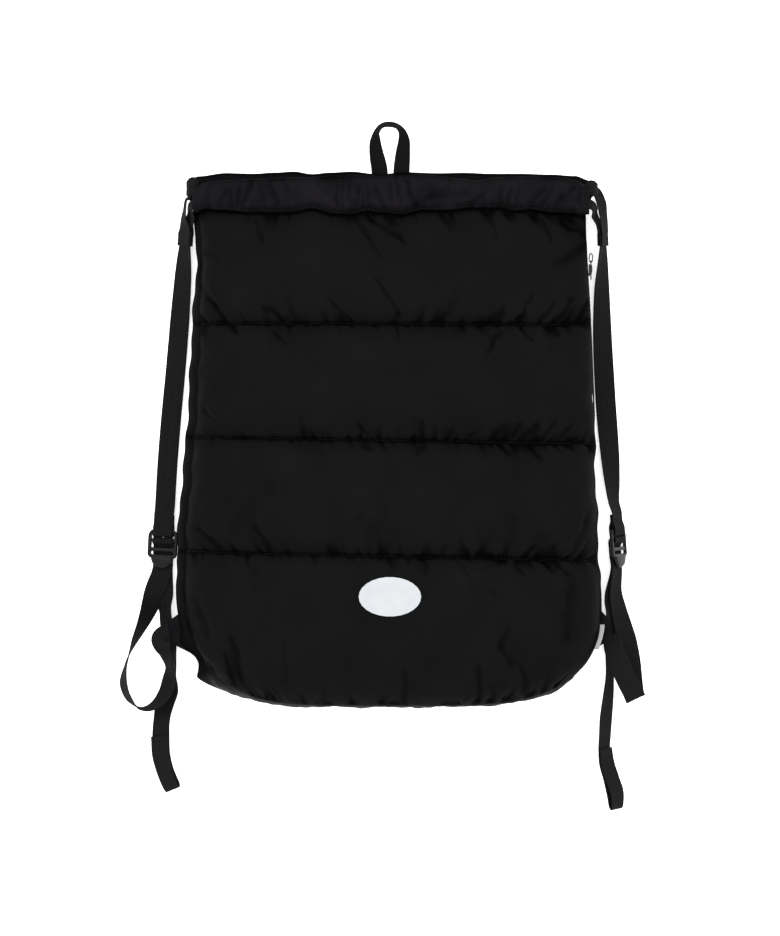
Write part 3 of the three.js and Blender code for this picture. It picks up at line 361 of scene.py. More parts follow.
def panel(name, point, detail, sign, rows, cols, material):
    """A padded wall: the outer surface with its detail, a rim, and a plainer inner surface."""
    t = np.arange(rows) / rows
    t = t - 0.55 * np.sin(2 * np.pi * t) / (2 * np.pi)  # closer rows beside the seams
    w = np.concatenate([mix(a, b, t) for a, b in zip(SEAMS[:-1], SEAMS[1:])] + [[1.0]])
    uu, ww = np.meshgrid(np.linspace(-1, 1, cols), w)
    p = point(uu, ww)
    n = grid_normals(p) * sign
    # The detail fades out towards the rims
    edge = clamp((1 - np.abs(spread(uu))) / 0.05) * clamp((1 - ww) / 0.012)
    edge = edge * np.clip(ww / 0.006, 0.15, 1)
    lift = detail(p, ww)
    outer = p + n * (lift * edge)[..., None]
    if sign > 0:
        wave_y = mouth_edge(p[..., 0]) * (1 - smooth_step(ww / 0.12))
        outer[..., 1] += wave_y
        p[..., 1] += wave_y
    thick = SEAM_T + (PAD_T - SEAM_T) * puff(ww) * (1 - np.abs(spread(uu)) ** 6)
    level = n.copy()
    level[:, [0, -1], 2] = 0
    level[-1, :, 2] = 0
    level /= np.maximum(1e-9, np.linalg.norm(level, axis=-1, keepdims=True))
    inner = (p - level * thick[..., None])[::4, ::4]
    rows_o, cols_o = outer.shape[:2]
    start = rows_o * cols_o
    rows_i, cols_i = inner.shape[:2]
    faces = list(grid_faces(rows_o, cols_o, flip=sign < 0))
    faces += list(grid_faces(rows_i, cols_i, start, flip=sign > 0))
    o = np.arange(start).reshape(rows_o, cols_o)
    q = start + np.arange(rows_i * cols_i).reshape(rows_i, cols_i)
    # Four outer steps of the rim to each inner one
    for outside, inside, flip in ((o[:, 0], q[:, 0], sign > 0), (o[:, -1], q[:, -1], sign < 0),
                                  (o[0], q[0], sign < 0), (o[-1], q[-1], sign > 0)):
        for k in range(len(inside) - 1):
            face = [*outside[4 * k:4 * k + 5], inside[k + 1], inside[k]]
            faces.append(face[::-1] if flip else face)
    obj = new_object(name, points_of(outer, inner), faces, material)
    # Painted shade: darker in the folds, beside the seams and on the steep sides, where less light falls
    near = np.min(np.abs(ww[..., None] - np.array(SEAMS[:4])), axis=-1) * BODY_L
    fold_shade = 0.85 * np.tanh(np.clip(-lift - 0.3, 0, 9) / 1.2)
    seam_shade = 0.6 * bell(near / 2.2) + 0.16 * bell(near / 10)
    steep_side_shade = clamp(1.05 - np.abs(n[..., 2])) ** 1.4
    shade(obj, fold_shade + seam_shade + 1.3 * steep_side_shade)
    return obj, outer, n


# Materials
class Shader:
    """A material's nodes. Inputs are named by keywords, with _ for a space."""

    def __init__(self, name, color, rough, **inputs):
        self.material = bpy.data.materials.new(name)
        self.material.use_nodes = True
        tree = self.material.node_tree
        self.nodes, self.links, self.bsdf = tree.nodes, tree.links, tree.nodes["Principled BSDF"]
        self.feed(self.bsdf, Base_Color=(*color, 1), Roughness=rough, **inputs)

    def put(self, socket, value):
        if isinstance(value, bpy.types.NodeSocket):
            self.links.new(value, socket)
        else:
            socket.default_value = value

    def feed(self, node, **inputs):
        for key, value in inputs.items():
            self.put(node.inputs[key.replace("_", " ")], value)
        return node

    def add(self, kind, **inputs):
        return self.feed(self.nodes.new("ShaderNode" + kind), **inputs)

    def coords(self):
        return self.add("TexCoord").outputs["Object"]

    def noise(self, vector, scale, detail=3, rough=0.5, distortion=0.0):
        return self.add("TexNoise", Vector=vector, Scale=scale, Detail=detail, Roughness=rough,
                        Distortion=distortion).outputs["Fac"]

    def wave(self, vector, scale, axis):
        node = self.add("TexWave", Vector=vector, Scale=scale)
        node.bands_direction = axis
        return node.outputs["Fac"]

    def bump(self, height, strength, distance, **before):
        return self.add("Bump", Height=height, Strength=strength, Distance=distance, **before).outputs["Normal"]

    def ramp(self, fac, low, high, a=0.3, b=0.7):
        node = self.add("ValToRGB", Fac=fac)
        for element, at, color in zip(node.color_ramp.elements, (a, b), (low, high)):
            element.position = at
            element.color = (*color, 1)
        return node.outputs["Color"]

    def levels(self, fac, low, high):
        return self.add("MapRange", Value=fac, To_Min=low, To_Max=high).outputs["Result"]

    def times(self, a, b):
        node = self.nodes.new("ShaderNodeMath")
        node.operation = "MULTIPLY"
        self.put(node.inputs[0], a)
        self.put(node.inputs[1], b)
        return node.outputs[0]


def grey(value):
    return (value, value, value)


def nylon(name, dark, light, rough, crinkle, shine):
    m = Shader(name, light, rough, IOR=1.12)
    v = m.coords()
    # Painted shade: the shade attribute (depth below) mixes the colour towards black and lowers the specular in
    # folds, at seams, on steep sides and rims
    painted_shade_node = m.nodes.new("ShaderNodeAttribute")
    painted_shade_node.attribute_name = "shade"
    depth = painted_shade_node.outputs["Fac"]
    tone_with_painted_shade = m.nodes.new("ShaderNodeMix")
    tone_with_painted_shade.data_type = "RGBA"
    m.feed(tone_with_painted_shade, Factor=m.times(depth, 0.8), A=m.ramp(m.noise(v, 24, 4), dark, light), B=(*grey(0.0004), 1))
    weave = m.bump(m.times(m.wave(v, 420, "X"), m.wave(v, 420, "Y")), 0.25, 0.00012)
    small = m.bump(m.noise(v, 240, 4, 0.6, 0.6), crinkle, 0.0009, Normal=weave)
    m.feed(m.bsdf, Base_Color=tone_with_painted_shade.outputs["Result"], Specular_IOR_Level=m.levels(depth, shine, shine * 0.15),
           Roughness=m.levels(m.noise(v, 130), rough - 0.07, rough + 0.08),
           Normal=m.bump(m.noise(v, 52, 3, 0.55, 1.2), crinkle * 0.8, 0.0025, Normal=small))
    return m.material


def web_cloth(name, dark, light):
    m = Shader(name, light, 0.65, Specular_IOR_Level=0.14, IOR=1.15)
    place = m.nodes.new("ShaderNodeUVMap")
    place.uv_map = "UVMap"
    v = place.outputs["UV"]
    knit = m.times(m.wave(v, 230, "Y"), m.wave(v, 190, "X"))
    m.feed(m.bsdf, Base_Color=m.ramp(knit, dark, light, 0.1, 0.9),
           Normal=m.bump(m.noise(m.coords(), 300), 0.25, 0.0004, Normal=m.bump(knit, 0.7, 0.0003)))
    return m.material


def plastic_like(name, dark, light, rough, grain, **inputs):
    m = Shader(name, light, rough, **inputs)
    v = m.coords()
    m.feed(m.bsdf, Base_Color=m.ramp(m.noise(v, 90, 4), dark, light),
           Roughness=m.levels(m.noise(v, 400), rough - 0.08, rough + 0.1),
           Normal=m.bump(m.noise(v, 900), grain, 0.0002))
    return m.material


def zip_teeth():
    m = Shader("zip_teeth", grey(0.008), 0.4, Specular_IOR_Level=0.2)
    teeth = m.wave(m.coords(), 157, "Y")
    m.feed(m.bsdf, Base_Color=m.ramp(teeth, grey(0.0015), grey(0.008), 0.35, 0.6),
           Normal=m.bump(teeth, 0.9, 0.0006))
    return m.material


QUILT = nylon("quilted_nylon_cloth", grey(0.0021), grey(0.0029), 0.5, 0.22, 0.26)
PLAIN = nylon("plain_nylon_cloth", (0.0027, 0.0028, 0.0035), (0.0051, 0.0044, 0.0056), 0.5, 0.2, 0.25)
WEB = web_cloth("ribbed_webbing", grey(0.003), grey(0.0145))
THREAD = plastic_like("sewing_thread", grey(0.002), grey(0.0055), 0.6, 0.4, Specular_IOR_Level=0.08)
PLASTIC = plastic_like("moulded_plastic", (0.0022, 0.0023, 0.002), (0.0036, 0.0038, 0.0033), 0.26, 0.1,
                       Specular_IOR_Level=0.1)
BLACK_METAL = plastic_like("black_metal", grey(0.003), grey(0.007), 0.34, 0.08, Specular_IOR_Level=0.22)
SATIN = plastic_like("white_satin", (0.315, 0.326, 0.339), (0.34, 0.351, 0.362), 0.42, 0.3,
                     Specular_IOR_Level=0.1)
TAG_CLOTH = plastic_like("white_tape", grey(0.25), grey(0.34), 0.6, 0.5, Specular_IOR_Level=0.1)


# The two quilted panels, and the cloth that closes the bottom between them
front, front_outer, front_n = panel("quilted_front", front_point, front_detail, 1, 72, 321, QUILT)
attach(front, "root")
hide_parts("front_panel")
back, back_outer, back_n = panel("quilted_back", back_point, back_detail, -1, 56, 201, QUILT)
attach(back, "root")
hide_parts("back_panel")


GUSSET_REACH, GUSSET_ROWS, GUSSET_COLS, GUSSET_GAP, GUSSET_T = 0.985, 25, 241, 0.5, 1.2


def gusset():
    u = np.linspace(-GUSSET_REACH, GUSSET_REACH, GUSSET_COLS)
    one = np.ones_like(u)
    top, foot = front_point(u, one), back_point(u, one)
    top[:, 2] -= GUSSET_GAP
    foot[:, 2] += GUSSET_GAP
    run = np.gradient((top + foot) / 2, axis=0)
    out = np.stack([run[:, 1], -run[:, 0], 0 * u], -1)
    out /= np.linalg.norm(out, axis=-1, keepdims=True)
    height = (top - foot)[:, 2]
    room = clamp(height / 10)
    outer = []
    for t in np.linspace(0, 1, GUSSET_ROWS):
        p = mix(top, foot, t)
        ripples = 0.8 * ripple(p[:, 0], p[:, 2] * 0.5, 46, 12) + 0.5 * ripple(p[:, 0], p[:, 2], 17, 13)
        size = np.sin(t * np.pi)
        outer.append(p + out * (room * (1.5 * size + ripples * size ** 0.7))[:, None])
    outer = np.array(outer)
    inner = outer - out[None] * GUSSET_T * room[None, :, None]
    rows, cols = outer.shape[:2]
    n = rows * cols
    faces = list(grid_faces(rows, cols)) + list(grid_faces(rows, cols, n, flip=True))
    o = np.arange(n).reshape(rows, cols)
    for line, flip in ((o[0], False), (o[-1], True), (o[:, 0], True), (o[:, -1], False)):
        for a, b in zip(line[:-1], line[1:]):
            face = (a, b, b + n, a + n)
            faces.append(face[::-1] if flip else face)
    obj = new_object("bottom_cloth", points_of(outer, inner), faces, PLAIN)
    # Painted shade, the same all over the bottom cloth, which faces sideways
    shade(obj, np.full(n, 0.62))
    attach(obj, "root")
    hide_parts("bottom_gusset")


gusset()


# Stitches: little threads that lie along a line of points, each point with its outward normal
THREAD_HIGH, THREAD_THICK = np.array([-0.35, 0.25, 0.25, -0.35]) * 2, np.array([0.55, 1, 1, 0.55])
THREAD_SINK = 0.1


def stitches(name, lines, long=2.7, space=0.9, radius=0.28):
    """Threads with four rings of six points each."""
    verts, faces = [], []
    high, thick = THREAD_HIGH * radius - THREAD_SINK, THREAD_THICK * radius
    for points, normals in lines:
        points, normals = np.asarray(points), np.asarray(normals)
        dist = np.concatenate([[0], np.cumsum(np.linalg.norm(np.diff(points, axis=0), axis=1))])
        for k in range(int(dist[-1] // (long + space))):
            a = k * (long + space)
            ts = np.linspace(a, a + long, 4)
            mid, nor = [np.stack([np.interp(ts, dist, rows[:, i]) for i in range(3)], -1)
                        for rows in (points, normals)]
            nor /= np.linalg.norm(nor, axis=-1, keepdims=True)
            run = mid[-1] - mid[0]
            run /= max(1e-9, np.linalg.norm(run))
            side = np.cross(nor, run)
            start = len(verts)
            for j in range(4):
                for i in range(6):
                    angle = i * pi / 3
                    up, out = high[j] + thick[j] * sin(angle), thick[j] * cos(angle)
                    verts.append(mid[j] + nor[j] * up + side[j] * out)
            for a in range(start, start + 18):
                b = a + 1 if (a - start) % 6 < 5 else a - 5
                faces.append((a, b, b + 6, a + 6))
            faces.append(range(start + 5, start - 1, -1))
            faces.append(range(start + 18, start + 24))
    obj = new_object(name, verts, faces, THREAD)
    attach(obj, "root")
    return obj


lines = []
for outer, normals in ((front_outer, front_n), (back_outer, back_n)):
    per_band = (outer.shape[0] - 1) // 4
    lines += [(outer[row, 6:-6], normals[row, 6:-6]) for row in (per_band, 2 * per_band, 3 * per_band)]
stitches("quilt_stitches", lines)


# The drawstring tunnels
# Height at the ends and in the middle as shares of DEPTH, extra width in mm, and which way it faces
CASING = {"front": (0.325, 0.45, 0, 1), "back": (0.155, 0.086, 5, -1)}
AROUND, CASING_CLOTH = 64, 1.3


def casing_half(s):
    return across(s, (0.906, 0.944)) * HALF_W


def casing_high(name, s):
    edge, crown, _, _ = CASING[name]
    return mix(edge, crown, (1 - s * s) ** 0.6) * DEPTH


# Folds of the front tunnel, by their ends in the photograph: x, y to x, y, width and depth in mm
TUNNEL_FOLDS = [
    (213, 184, 205, 201, 2.6, 1.8), (228, 190, 219, 202, 2.2, 1.6), (231, 186, 230, 206, 1.8, 1.2),
    (241, 186, 236, 206, 2.6, 2.4), (253, 179, 242, 206, 2.8, 2.6), (270, 184, 279, 204, 2.6, 1.8),
    (262, 188, 265, 206, 2.2, 0.9), (296, 182, 300, 204, 2.6, 1), (318, 182, 314, 204, 2.4, 1),
    (336, 182, 337, 207, 1.8, 1.5), (343, 184, 342, 208, 1.8, 1.4), (350, 182, 350, 209, 1.9, 1.5),
    (354, 198, 353, 212, 1.8, 2.2), (358, 188, 357, 212, 2, 2.2), (363, 194, 363, 212, 1.8, 2.2),
    (368, 190, 369, 212, 2, 1.9), (375, 186, 384, 208, 2.4, 2), (396, 178, 401, 202, 2.2, 1.6),
    (407, 180, 410, 194, 2.4, 2), (410, 192, 416, 207, 2.4, 2.2), (414, 206, 434, 196, 2.4, 2.2),
    (432, 196, 470, 193, 2.4, 2.4), (488, 191, 469, 208, 2.6, 2.2), (502, 186, 500, 206, 2.2, 1.6),
    (511, 188, 507, 207, 2.2, 1.8), (520, 186, 515, 206, 2.2, 1.6), (546, 188, 529, 206, 2.6, 2.4),
    (553, 188, 540, 207, 2.2, 1.8), (576, 187, 554, 207, 2.6, 2.4), (580, 188, 579, 206, 1.8, 1.4),
    (586, 190, 586, 206, 1.8, 1.4), (390, 184, 392, 206, 2, 1.2), (452, 178, 446, 190, 2.2, 1.4),
    (284, 180, 289, 192, 2.2, 1.2), (564, 186, 561, 198, 2, 1.2)]


def casing(name):
    _, _, top, layer = CASING[name]
    s = np.linspace(-1, 1, 561)
    a = (np.arange(AROUND) + 0.5) * 2 * pi / AROUND
    tall = (CASING_H + top) / 2
    flare = CASING_FLARE * np.maximum(0, (np.abs(s) - 0.8) / 0.2) ** 2 / 2
    thick = CASING_T / 2 + flare

    def boxy(v, power):
        return np.sign(v) * np.abs(v) ** power

    def ring(less):
        """The tunnel's sections, smaller all round by a number of mm."""
        yy = boxy(np.cos(a), 0.75)[None] * (tall - less)
        zz = boxy(np.sin(a), 0.7)[None] * (thick - less)[:, None]
        reach = 1.9 * smooth_step((-s - 0.9) / 0.1) * (layer > 0)
        x = (s * casing_half(s) - reach)[:, None] + 0 * yy
        share = (yy + tall) / (2 * tall)
        low = mouth_edge(x)
        high = edge_wave(FRONT_TOP if layer > 0 else BACK_TOP, x)
        corner = 2.4 * smooth_step((np.abs(x) - 168) / 10) * (1 - share) ** 2
        y = MOUTH_Y + GAP + tall + yy + mix(low, high, share) - corner * (layer > 0)
        return x, y, zz

    x, y, zz = ring(0)
    facing = clamp(np.sin(a)[None] * 2.2)
    from_seam = y - MOUTH_Y - mouth_edge(x)
    lift = 0.5 * ripple(x, y, 44, 35) + 0.25 * ripple(x, y, 16, 36)
    xw, yw = x + 0.8 * ripple(x, y, 15, 73), y + 0.8 * ripple(x, y, 15, 74)
    if layer > 0:
        for x0, y0, x1, y1, wide, deep in TUNNEL_FOLDS:
            lift -= 0.8 * crease(xw, yw, (x0, y0), (x1, y1), wide * 1.1, deep)
            lift += 0.3 * crease(xw, yw, (x0 + 4, y0), (x1 + 4, y1), wide, deep)
    lift -= folds(x, np.abs(from_seam - 4), 38 + layer, 90, 1.1, 9, 0.4, 0.1)
    lift -= folds(x, np.abs(y - y.max(axis=1, keepdims=True)), 48 + layer, 70, 0.9, 8, 0.3, -0.1)
    lift -= 1.1 * bell((from_seam - 4.2) / 2.2)
    lift = np.where(lift < 0, -3.6 * np.tanh(-lift / 3.6), np.minimum(lift, 1.4))
    ends = clamp((1 - np.abs(s)) / 0.03)[:, None]
    lift = lift * facing * (0.25 + 0.75 * ends) + 0.15 * lift * (1 - facing)
    z = casing_high(name, s)[:, None] + (zz + lift) * layer
    outer = np.stack([x, y, z], -1)
    xi, yi, zi = ring(CASING_CLOTH)
    zi = casing_high(name, s)[:, None] + (zi - np.clip(-lift, 0, 2.6) * facing) * layer
    inner = np.stack([xi, yi, zi], -1)[::8]
    rows, rows_i = outer.shape[0], inner.shape[0]
    n = rows * AROUND
    flip = layer < 0
    faces = list(grid_faces(rows, AROUND, flip=not flip, close=True))
    faces += list(grid_faces(rows_i, AROUND, n, flip=flip, close=True))
    for o, q, same in ((0, n, flip), ((rows - 1) * AROUND, n + (rows_i - 1) * AROUND, not flip)):
        for i in range(AROUND):
            j = (i + 1) % AROUND
            face = (o + i, o + j, q + j, q + i)
            faces.append(face if same else face[::-1])
    obj = new_object(f"mouth_tunnel_{name}", points_of(outer, inner), faces, PLAIN)
    # Painted shade: darker in the tunnel's folds and along its upper and lower rims, and darker all over on the
    # back tunnel
    rim = np.abs(np.cos(a))[None] ** 5 + 0 * lift
    shade(obj, 0.8 * np.tanh(np.clip(-lift - 0.1, 0, 9) / 2.2) + 1.1 * rim + (0.35 if layer < 0 else 0))
    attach(obj, "root")
    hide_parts(f"{name}_casing")
    # A double row of topstitching along the mouth seam
    lines = []
    for high in (2.6, 5.4):
        points = []
        for line in outer[3:-3:2, :AROUND // 2]:
            line = line[np.argsort(line[:, 1])]
            place = MOUTH_Y + mouth_edge(line[:, 0].mean()) + high
            points.append([np.interp(place, line[:, 1], line[:, i]) for i in range(3)])
        lines.append((points, np.tile([0.0, 0.0, float(layer)], (len(points), 1))))
    stitch = stitches(f"mouth_stitches_{name}", lines, 2.6, 0.8, 0.26)


for name in CASING:
    casing(name)


# Webbing: the part's routes, with some stops moved by a few millimetres to match the photograph
class Path:
    """A centripetal Catmull-Rom curve."""

    def __init__(self, points):
        self.p = [Vector(p) for p in points]

    def at(self, t):
        p = self.p
        last = len(p) - 1
        x = last * min(max(t, 0.0), 1.0)
        i = min(int(x), last - 1)
        f = x - i
        p1, p2 = p[i], p[i + 1]
        p0 = p[i - 1] if i > 0 else p1 + (p1 - p2)
        p3 = p[i + 2] if i + 2 <= last else p2 + (p2 - p1)
        d0, d1, d2 = [(b - a).length_squared ** 0.25 for a, b in ((p0, p1), (p1, p2), (p2, p3))]
        d1 = 1.0 if d1 < 1e-4 else d1
        d0 = d1 if d0 < 1e-4 else d0
        d2 = d1 if d2 < 1e-4 else d2
        m1 = ((p1 - p0) / d0 - (p2 - p0) / (d0 + d1) + (p2 - p1) / d1) * d1
        m2 = ((p2 - p1) / d1 - (p3 - p1) / (d1 + d2) + (p3 - p2) / d2) * d1
        return p1 + m1 * f + (p2 * 3 - p1 * 3 - m1 * 2 - m2) * f**2 + (p1 * 2 - p2 * 2 + m1 + m2) * f**3

    def tangent(self, t):
        a, b = max(t - 0.0001, 0), min(t + 0.0001, 1)
        return (self.at(b) - self.at(a)).normalized()


LAYER = WEB_T + GAP
CLEAR = WEB_T / 2 + GAP


def stop(side, out, up, high, tilt, face=None, width=WEB_W, raised=0.0, off=0.0):
    """One place of a route, in shares of the body's size. Without a height it lies low, raised by layers."""
    z = abs(sin(rad(tilt))) * width / 2 + CLEAR + raised * LAYER if high is None else high * DEPTH
    wide = None
    if face is not None:
        f, t = rad(face), rad(tilt)
        wide = Vector((side * cos(f) * cos(t), sin(f) * cos(t), sin(t)))
    return {"place": Vector((side * out * HALF_W, up * BODY_L, z)), "width": width, "tilt": tilt, "wide": wide,
            "side": side, "off": off}


def flat_wide(t, side, tilt):
    flat = Vector((-t.y, t.x, 0)).normalized() * side
    return flat * cos(rad(tilt)) + Vector((0, 0, sin(rad(tilt))))


def route(stops):
    """The curves of a route's places and directions across, and its widths."""
    place = [s["place"].copy() for s in stops]
    wide = []

    def tangent(i):
        return (place[min(i + 1, len(place) - 1)] - place[max(i - 1, 0)]).normalized()

    for i, s in enumerate(stops):
        w = s["wide"].copy() if s["wide"] is not None else flat_wide(tangent(i), s["side"], s["tilt"])
        if i > 0 and w.dot(wide[-1]) < 0:
            w.negate()
        wide.append(w)
    for i, s in enumerate(stops):
        if s.get("off"):
            n = tangent(i).cross(wide[i]).normalized()
            place[i] += n * s["off"] * LAYER * (1 if n.z > 0 else -1)
    return Path(place), Path(wide), [s["width"] for s in stops]


def rib_profile(ribs=9):
    """Half of a webbing section: shares of the width and of the thickness, with fine ribs and round edges."""
    xs = np.linspace(-0.5, 0.5, ribs * 4 + 1)
    lift = 0.5 - 0.05 * (1 - np.cos(2 * np.pi * ribs * (xs + 0.5))) - 0.16 * bell(xs / 0.05)
    return xs, lift * np.clip((0.5 - np.abs(xs)) / 0.03, 0.35, 1)


def section(path, face, t):
    """A webbing section's middle, its direction across and its normal."""
    run, w = path.tangent(t), face.at(t)
    w = (w - run * w.dot(run)).normalized()
    return path.at(t), w, run.cross(w).normalized()


def webbing(name, node, stops, per_span=9):
    path, face, widths = route(stops)
    count = (len(stops) - 1) * per_span
    xs, lift = rib_profile()
    ring = list(zip(xs, lift)) + list(zip(xs[::-1], -lift[::-1]))
    around = len(ring)
    verts, uvs = [], []
    travel, before = 0.0, None
    for k in range(count + 1):
        at, w, n = section(path, face, k / count)
        i = min(k // per_span, len(stops) - 2)
        width = mix(widths[i], widths[i + 1], k / per_span - i)
        if before is not None:
            travel += (at - before).length
        before = at
        for x, z in ring:
            verts.append(tuple(at + w * (x * width) + n * (z * WEB_T)))
            uvs.append((x * width * MM, travel * MM))
    faces = list(grid_faces(count + 1, around, flip=True, close=True))
    faces.append(range(around))
    faces.append(range((count + 1) * around - 1, count * around - 1, -1))
    obj = new_object(name, verts, faces, WEB)
    layer = obj.data.uv_layers.new(name="UVMap")
    index = np.zeros(len(obj.data.loops), dtype=np.int32)
    obj.data.loops.foreach_get("vertex_index", index)
    layer.data.foreach_set("uv", np.array(uvs, dtype=np.float32)[index].ravel())
    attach(obj, "root")
    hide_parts(node)
    return path, face


# Tables of stops, in shares of the body's half width and length, with angles in degrees.
# Shoulder straps: out, up, tilt and layers above the floor. Buckles: out, up, height, tilt and lean.
STRAP = {
    "left": [(0.95, 0.54, -58, 1.4), (0.956, 0.51, -53, 1.4), (0.9645, 0.455, -36, 0), (0.983, 0.35, -18, 0),
             (1.002, 0.253, -14, 0), (1.023, 0.156, -10, 0), (1.0405, 0.0585, -10, 1.2),
             (1.0505, -0.02, -12, 3)],
    "right": [(1.01, 0.54, -74, 1.4), (1.012, 0.51, -68, 1.4), (1.01, 0.465, -56, 0), (1.007, 0.423, -42, 0),
              (1.01, 0.326, -22, 0), (1.018, 0.253, -12, 0), (1.028, 0.18, -8, 0), (1.046, 0.083, -24, 0.4),
              (1.054, 0.034, -40, 1.3), (1.062, -0.01, -57, 2.4)]}
BUCKLE = {"left": (1.061, -0.1055, 0.1, -12, 3), "right": (1.083, -0.1034, 0.156, -60, 4)}
SIDES = {"left": -1, "right": 1}


def buckle_frame(name):
    out, up, high, tilt, lean = BUCKLE[name]
    side = SIDES[name]
    v = Vector((-side * sin(rad(lean)), cos(rad(lean)), 0))
    flat = Vector((side * cos(rad(lean)), sin(rad(lean)), 0))
    u = flat * cos(rad(tilt)) + Vector((0, 0, sin(rad(tilt))))
    return Vector((side * out * HALF_W, up * BODY_L, high * DEPTH)), u, v, u.cross(v) * side


def bar_stop(name, along, out):
    """A stop at a buckle, in mm along it and out from its middle plane."""
    middle, u, v, n = buckle_frame(name)
    return {"place": middle + v * along + n * out, "width": WEB_W, "wide": u.copy()}


def strap_stops(name):
    return [stop(SIDES[name], o, up, None, tilt, raised=r) for o, up, tilt, r in STRAP[name]]


def sewn(name, off):
    """The straight stretch where a drawstring's ends and the strap are sewn together."""
    top, end = strap_stops(name)[:2]
    run = (end["place"] - top["place"]).normalized()
    wide = flat_wide(run, SIDES[name], (top["tilt"] + end["tilt"]) / 2)
    n = run.cross(wide).normalized()
    away = n * (off * LAYER * 1.25 * (1 if n.z > 0 else -1))
    return [{"place": top["place"].lerp(end["place"], t) + away, "width": WEB_W, "wide": wide}
            for t in (0, 0.5, 1)]


def shoulder_strap(name):
    top_low, top_high = BUCKLE_L / 2 - 4.4, BUCKLE_L / 2
    turn_r = BUCKLE_T / 2 + CLEAR + 0.1
    middle = (top_low + top_high) / 2
    # Down to the buckle, round its top bar and back: along the buckle and out from it
    fold = [(32, LAYER * 0.7), (25, LAYER * 0.7), (top_high + 1, turn_r * 0.95), (middle, turn_r),
            (top_low - 1.6, turn_r * 0.85), (top_low - CLEAR - 2, 0), (top_low - 1.6, -turn_r * 0.85),
            (middle, -turn_r), (top_high + 1, -turn_r * 0.95), (25, -LAYER * 0.7), (31, -LAYER * 0.7)]
    stops = sewn(name, 0) + strap_stops(name)[2:] + [bar_stop(name, a, o) for a, o in fold]
    return webbing(f"strap_{name}", f"shoulder_strap_{name}", stops)


LANE_W = 0.36 * CASING_H
LANE_STEP = LANE_W / 2 + 0.6
LOOP_END = {"left": 15.5, "right": 21.5}
LANE_MIDDLE = MOUTH_Y + GAP + CASING_H / 2
# Where the strands leave the tunnels: out, up, height, tilt and the way that they face
OWN_STRAND = {
    "left": {
        "front": [(0.924, 0.59, 0.305, -44, 72), (0.925, 0.572, 0.215, -64, 14), (0.936, 0.555, 0.16, -60, 0)],
        "back": [(0.944, 0.606, 0.16, -78, 50), (0.957, 0.584, 0.135, -80, 20), (0.962, 0.563, 0.125, -72, 4)]},
    "right": {
        "front": [(0.962, 0.59, 0.305, -44, 72), (0.973, 0.572, 0.215, -68, 10), (0.99, 0.555, 0.165, -72, 0)],
        "back": [(0.972, 0.622, 0.16, -40, 60), (1.002, 0.6, 0.15, -50, 25), (1.013, 0.573, 0.13, -64, 4)]}}


def drawstring(name):
    side = SIDES[name]

    def end(part, off):
        rows = OWN_STRAND[name][part]
        widths = [mix(LANE_W, WEB_W, (i + 0.3) / len(rows)) for i in range(len(rows))]
        return [stop(side, *row, width=width) for row, width in zip(rows, widths)] + sewn(name, off)

    def run(part):
        stops = []
        for s in (0.965, 0.8, 0.5, 0.2, -0.2, -0.5, -0.8, -0.99):
            y = LANE_MIDDLE + mix(LANE_STEP, -LANE_STEP, smooth_step((s + 0.7) / 1.4))
            z = casing_high(part, side * s) - CASING[part][3] * side * LAYER * 0.6 * (1 - s**6)
            roll = rad(25 if s > 0.9 else 0)
            stops.append({"place": Vector((side * s * casing_half(side * s), y, z)), "width": LANE_W,
                          "wide": Vector((0, cos(roll), -sin(roll)))})
        return stops

    there, back_run = run("front"), run("back")[::-1]
    a, b = there[-1]["place"], back_run[0]["place"]
    radius = (a.z - b.z) / 2
    bend = []
    for g in (20, 45, 70, 90, 110, 135, 160):
        away = Vector((-side * (1 + radius * sin(rad(g))), 1.5, radius * cos(rad(g))))
        bend.append({"place": a.lerp(b, 0.5) + away, "wide": Vector((0, 1, 0)),
                     "width": LOOP_END[name] * (1 - 0.4 * sin(rad(g)) ** 3)})
    stops = end("front", -1)[::-1] + there + bend + back_run + end("back", 1)
    return webbing(f"cord_{name}", f"drawstring_{name}", stops, 7)


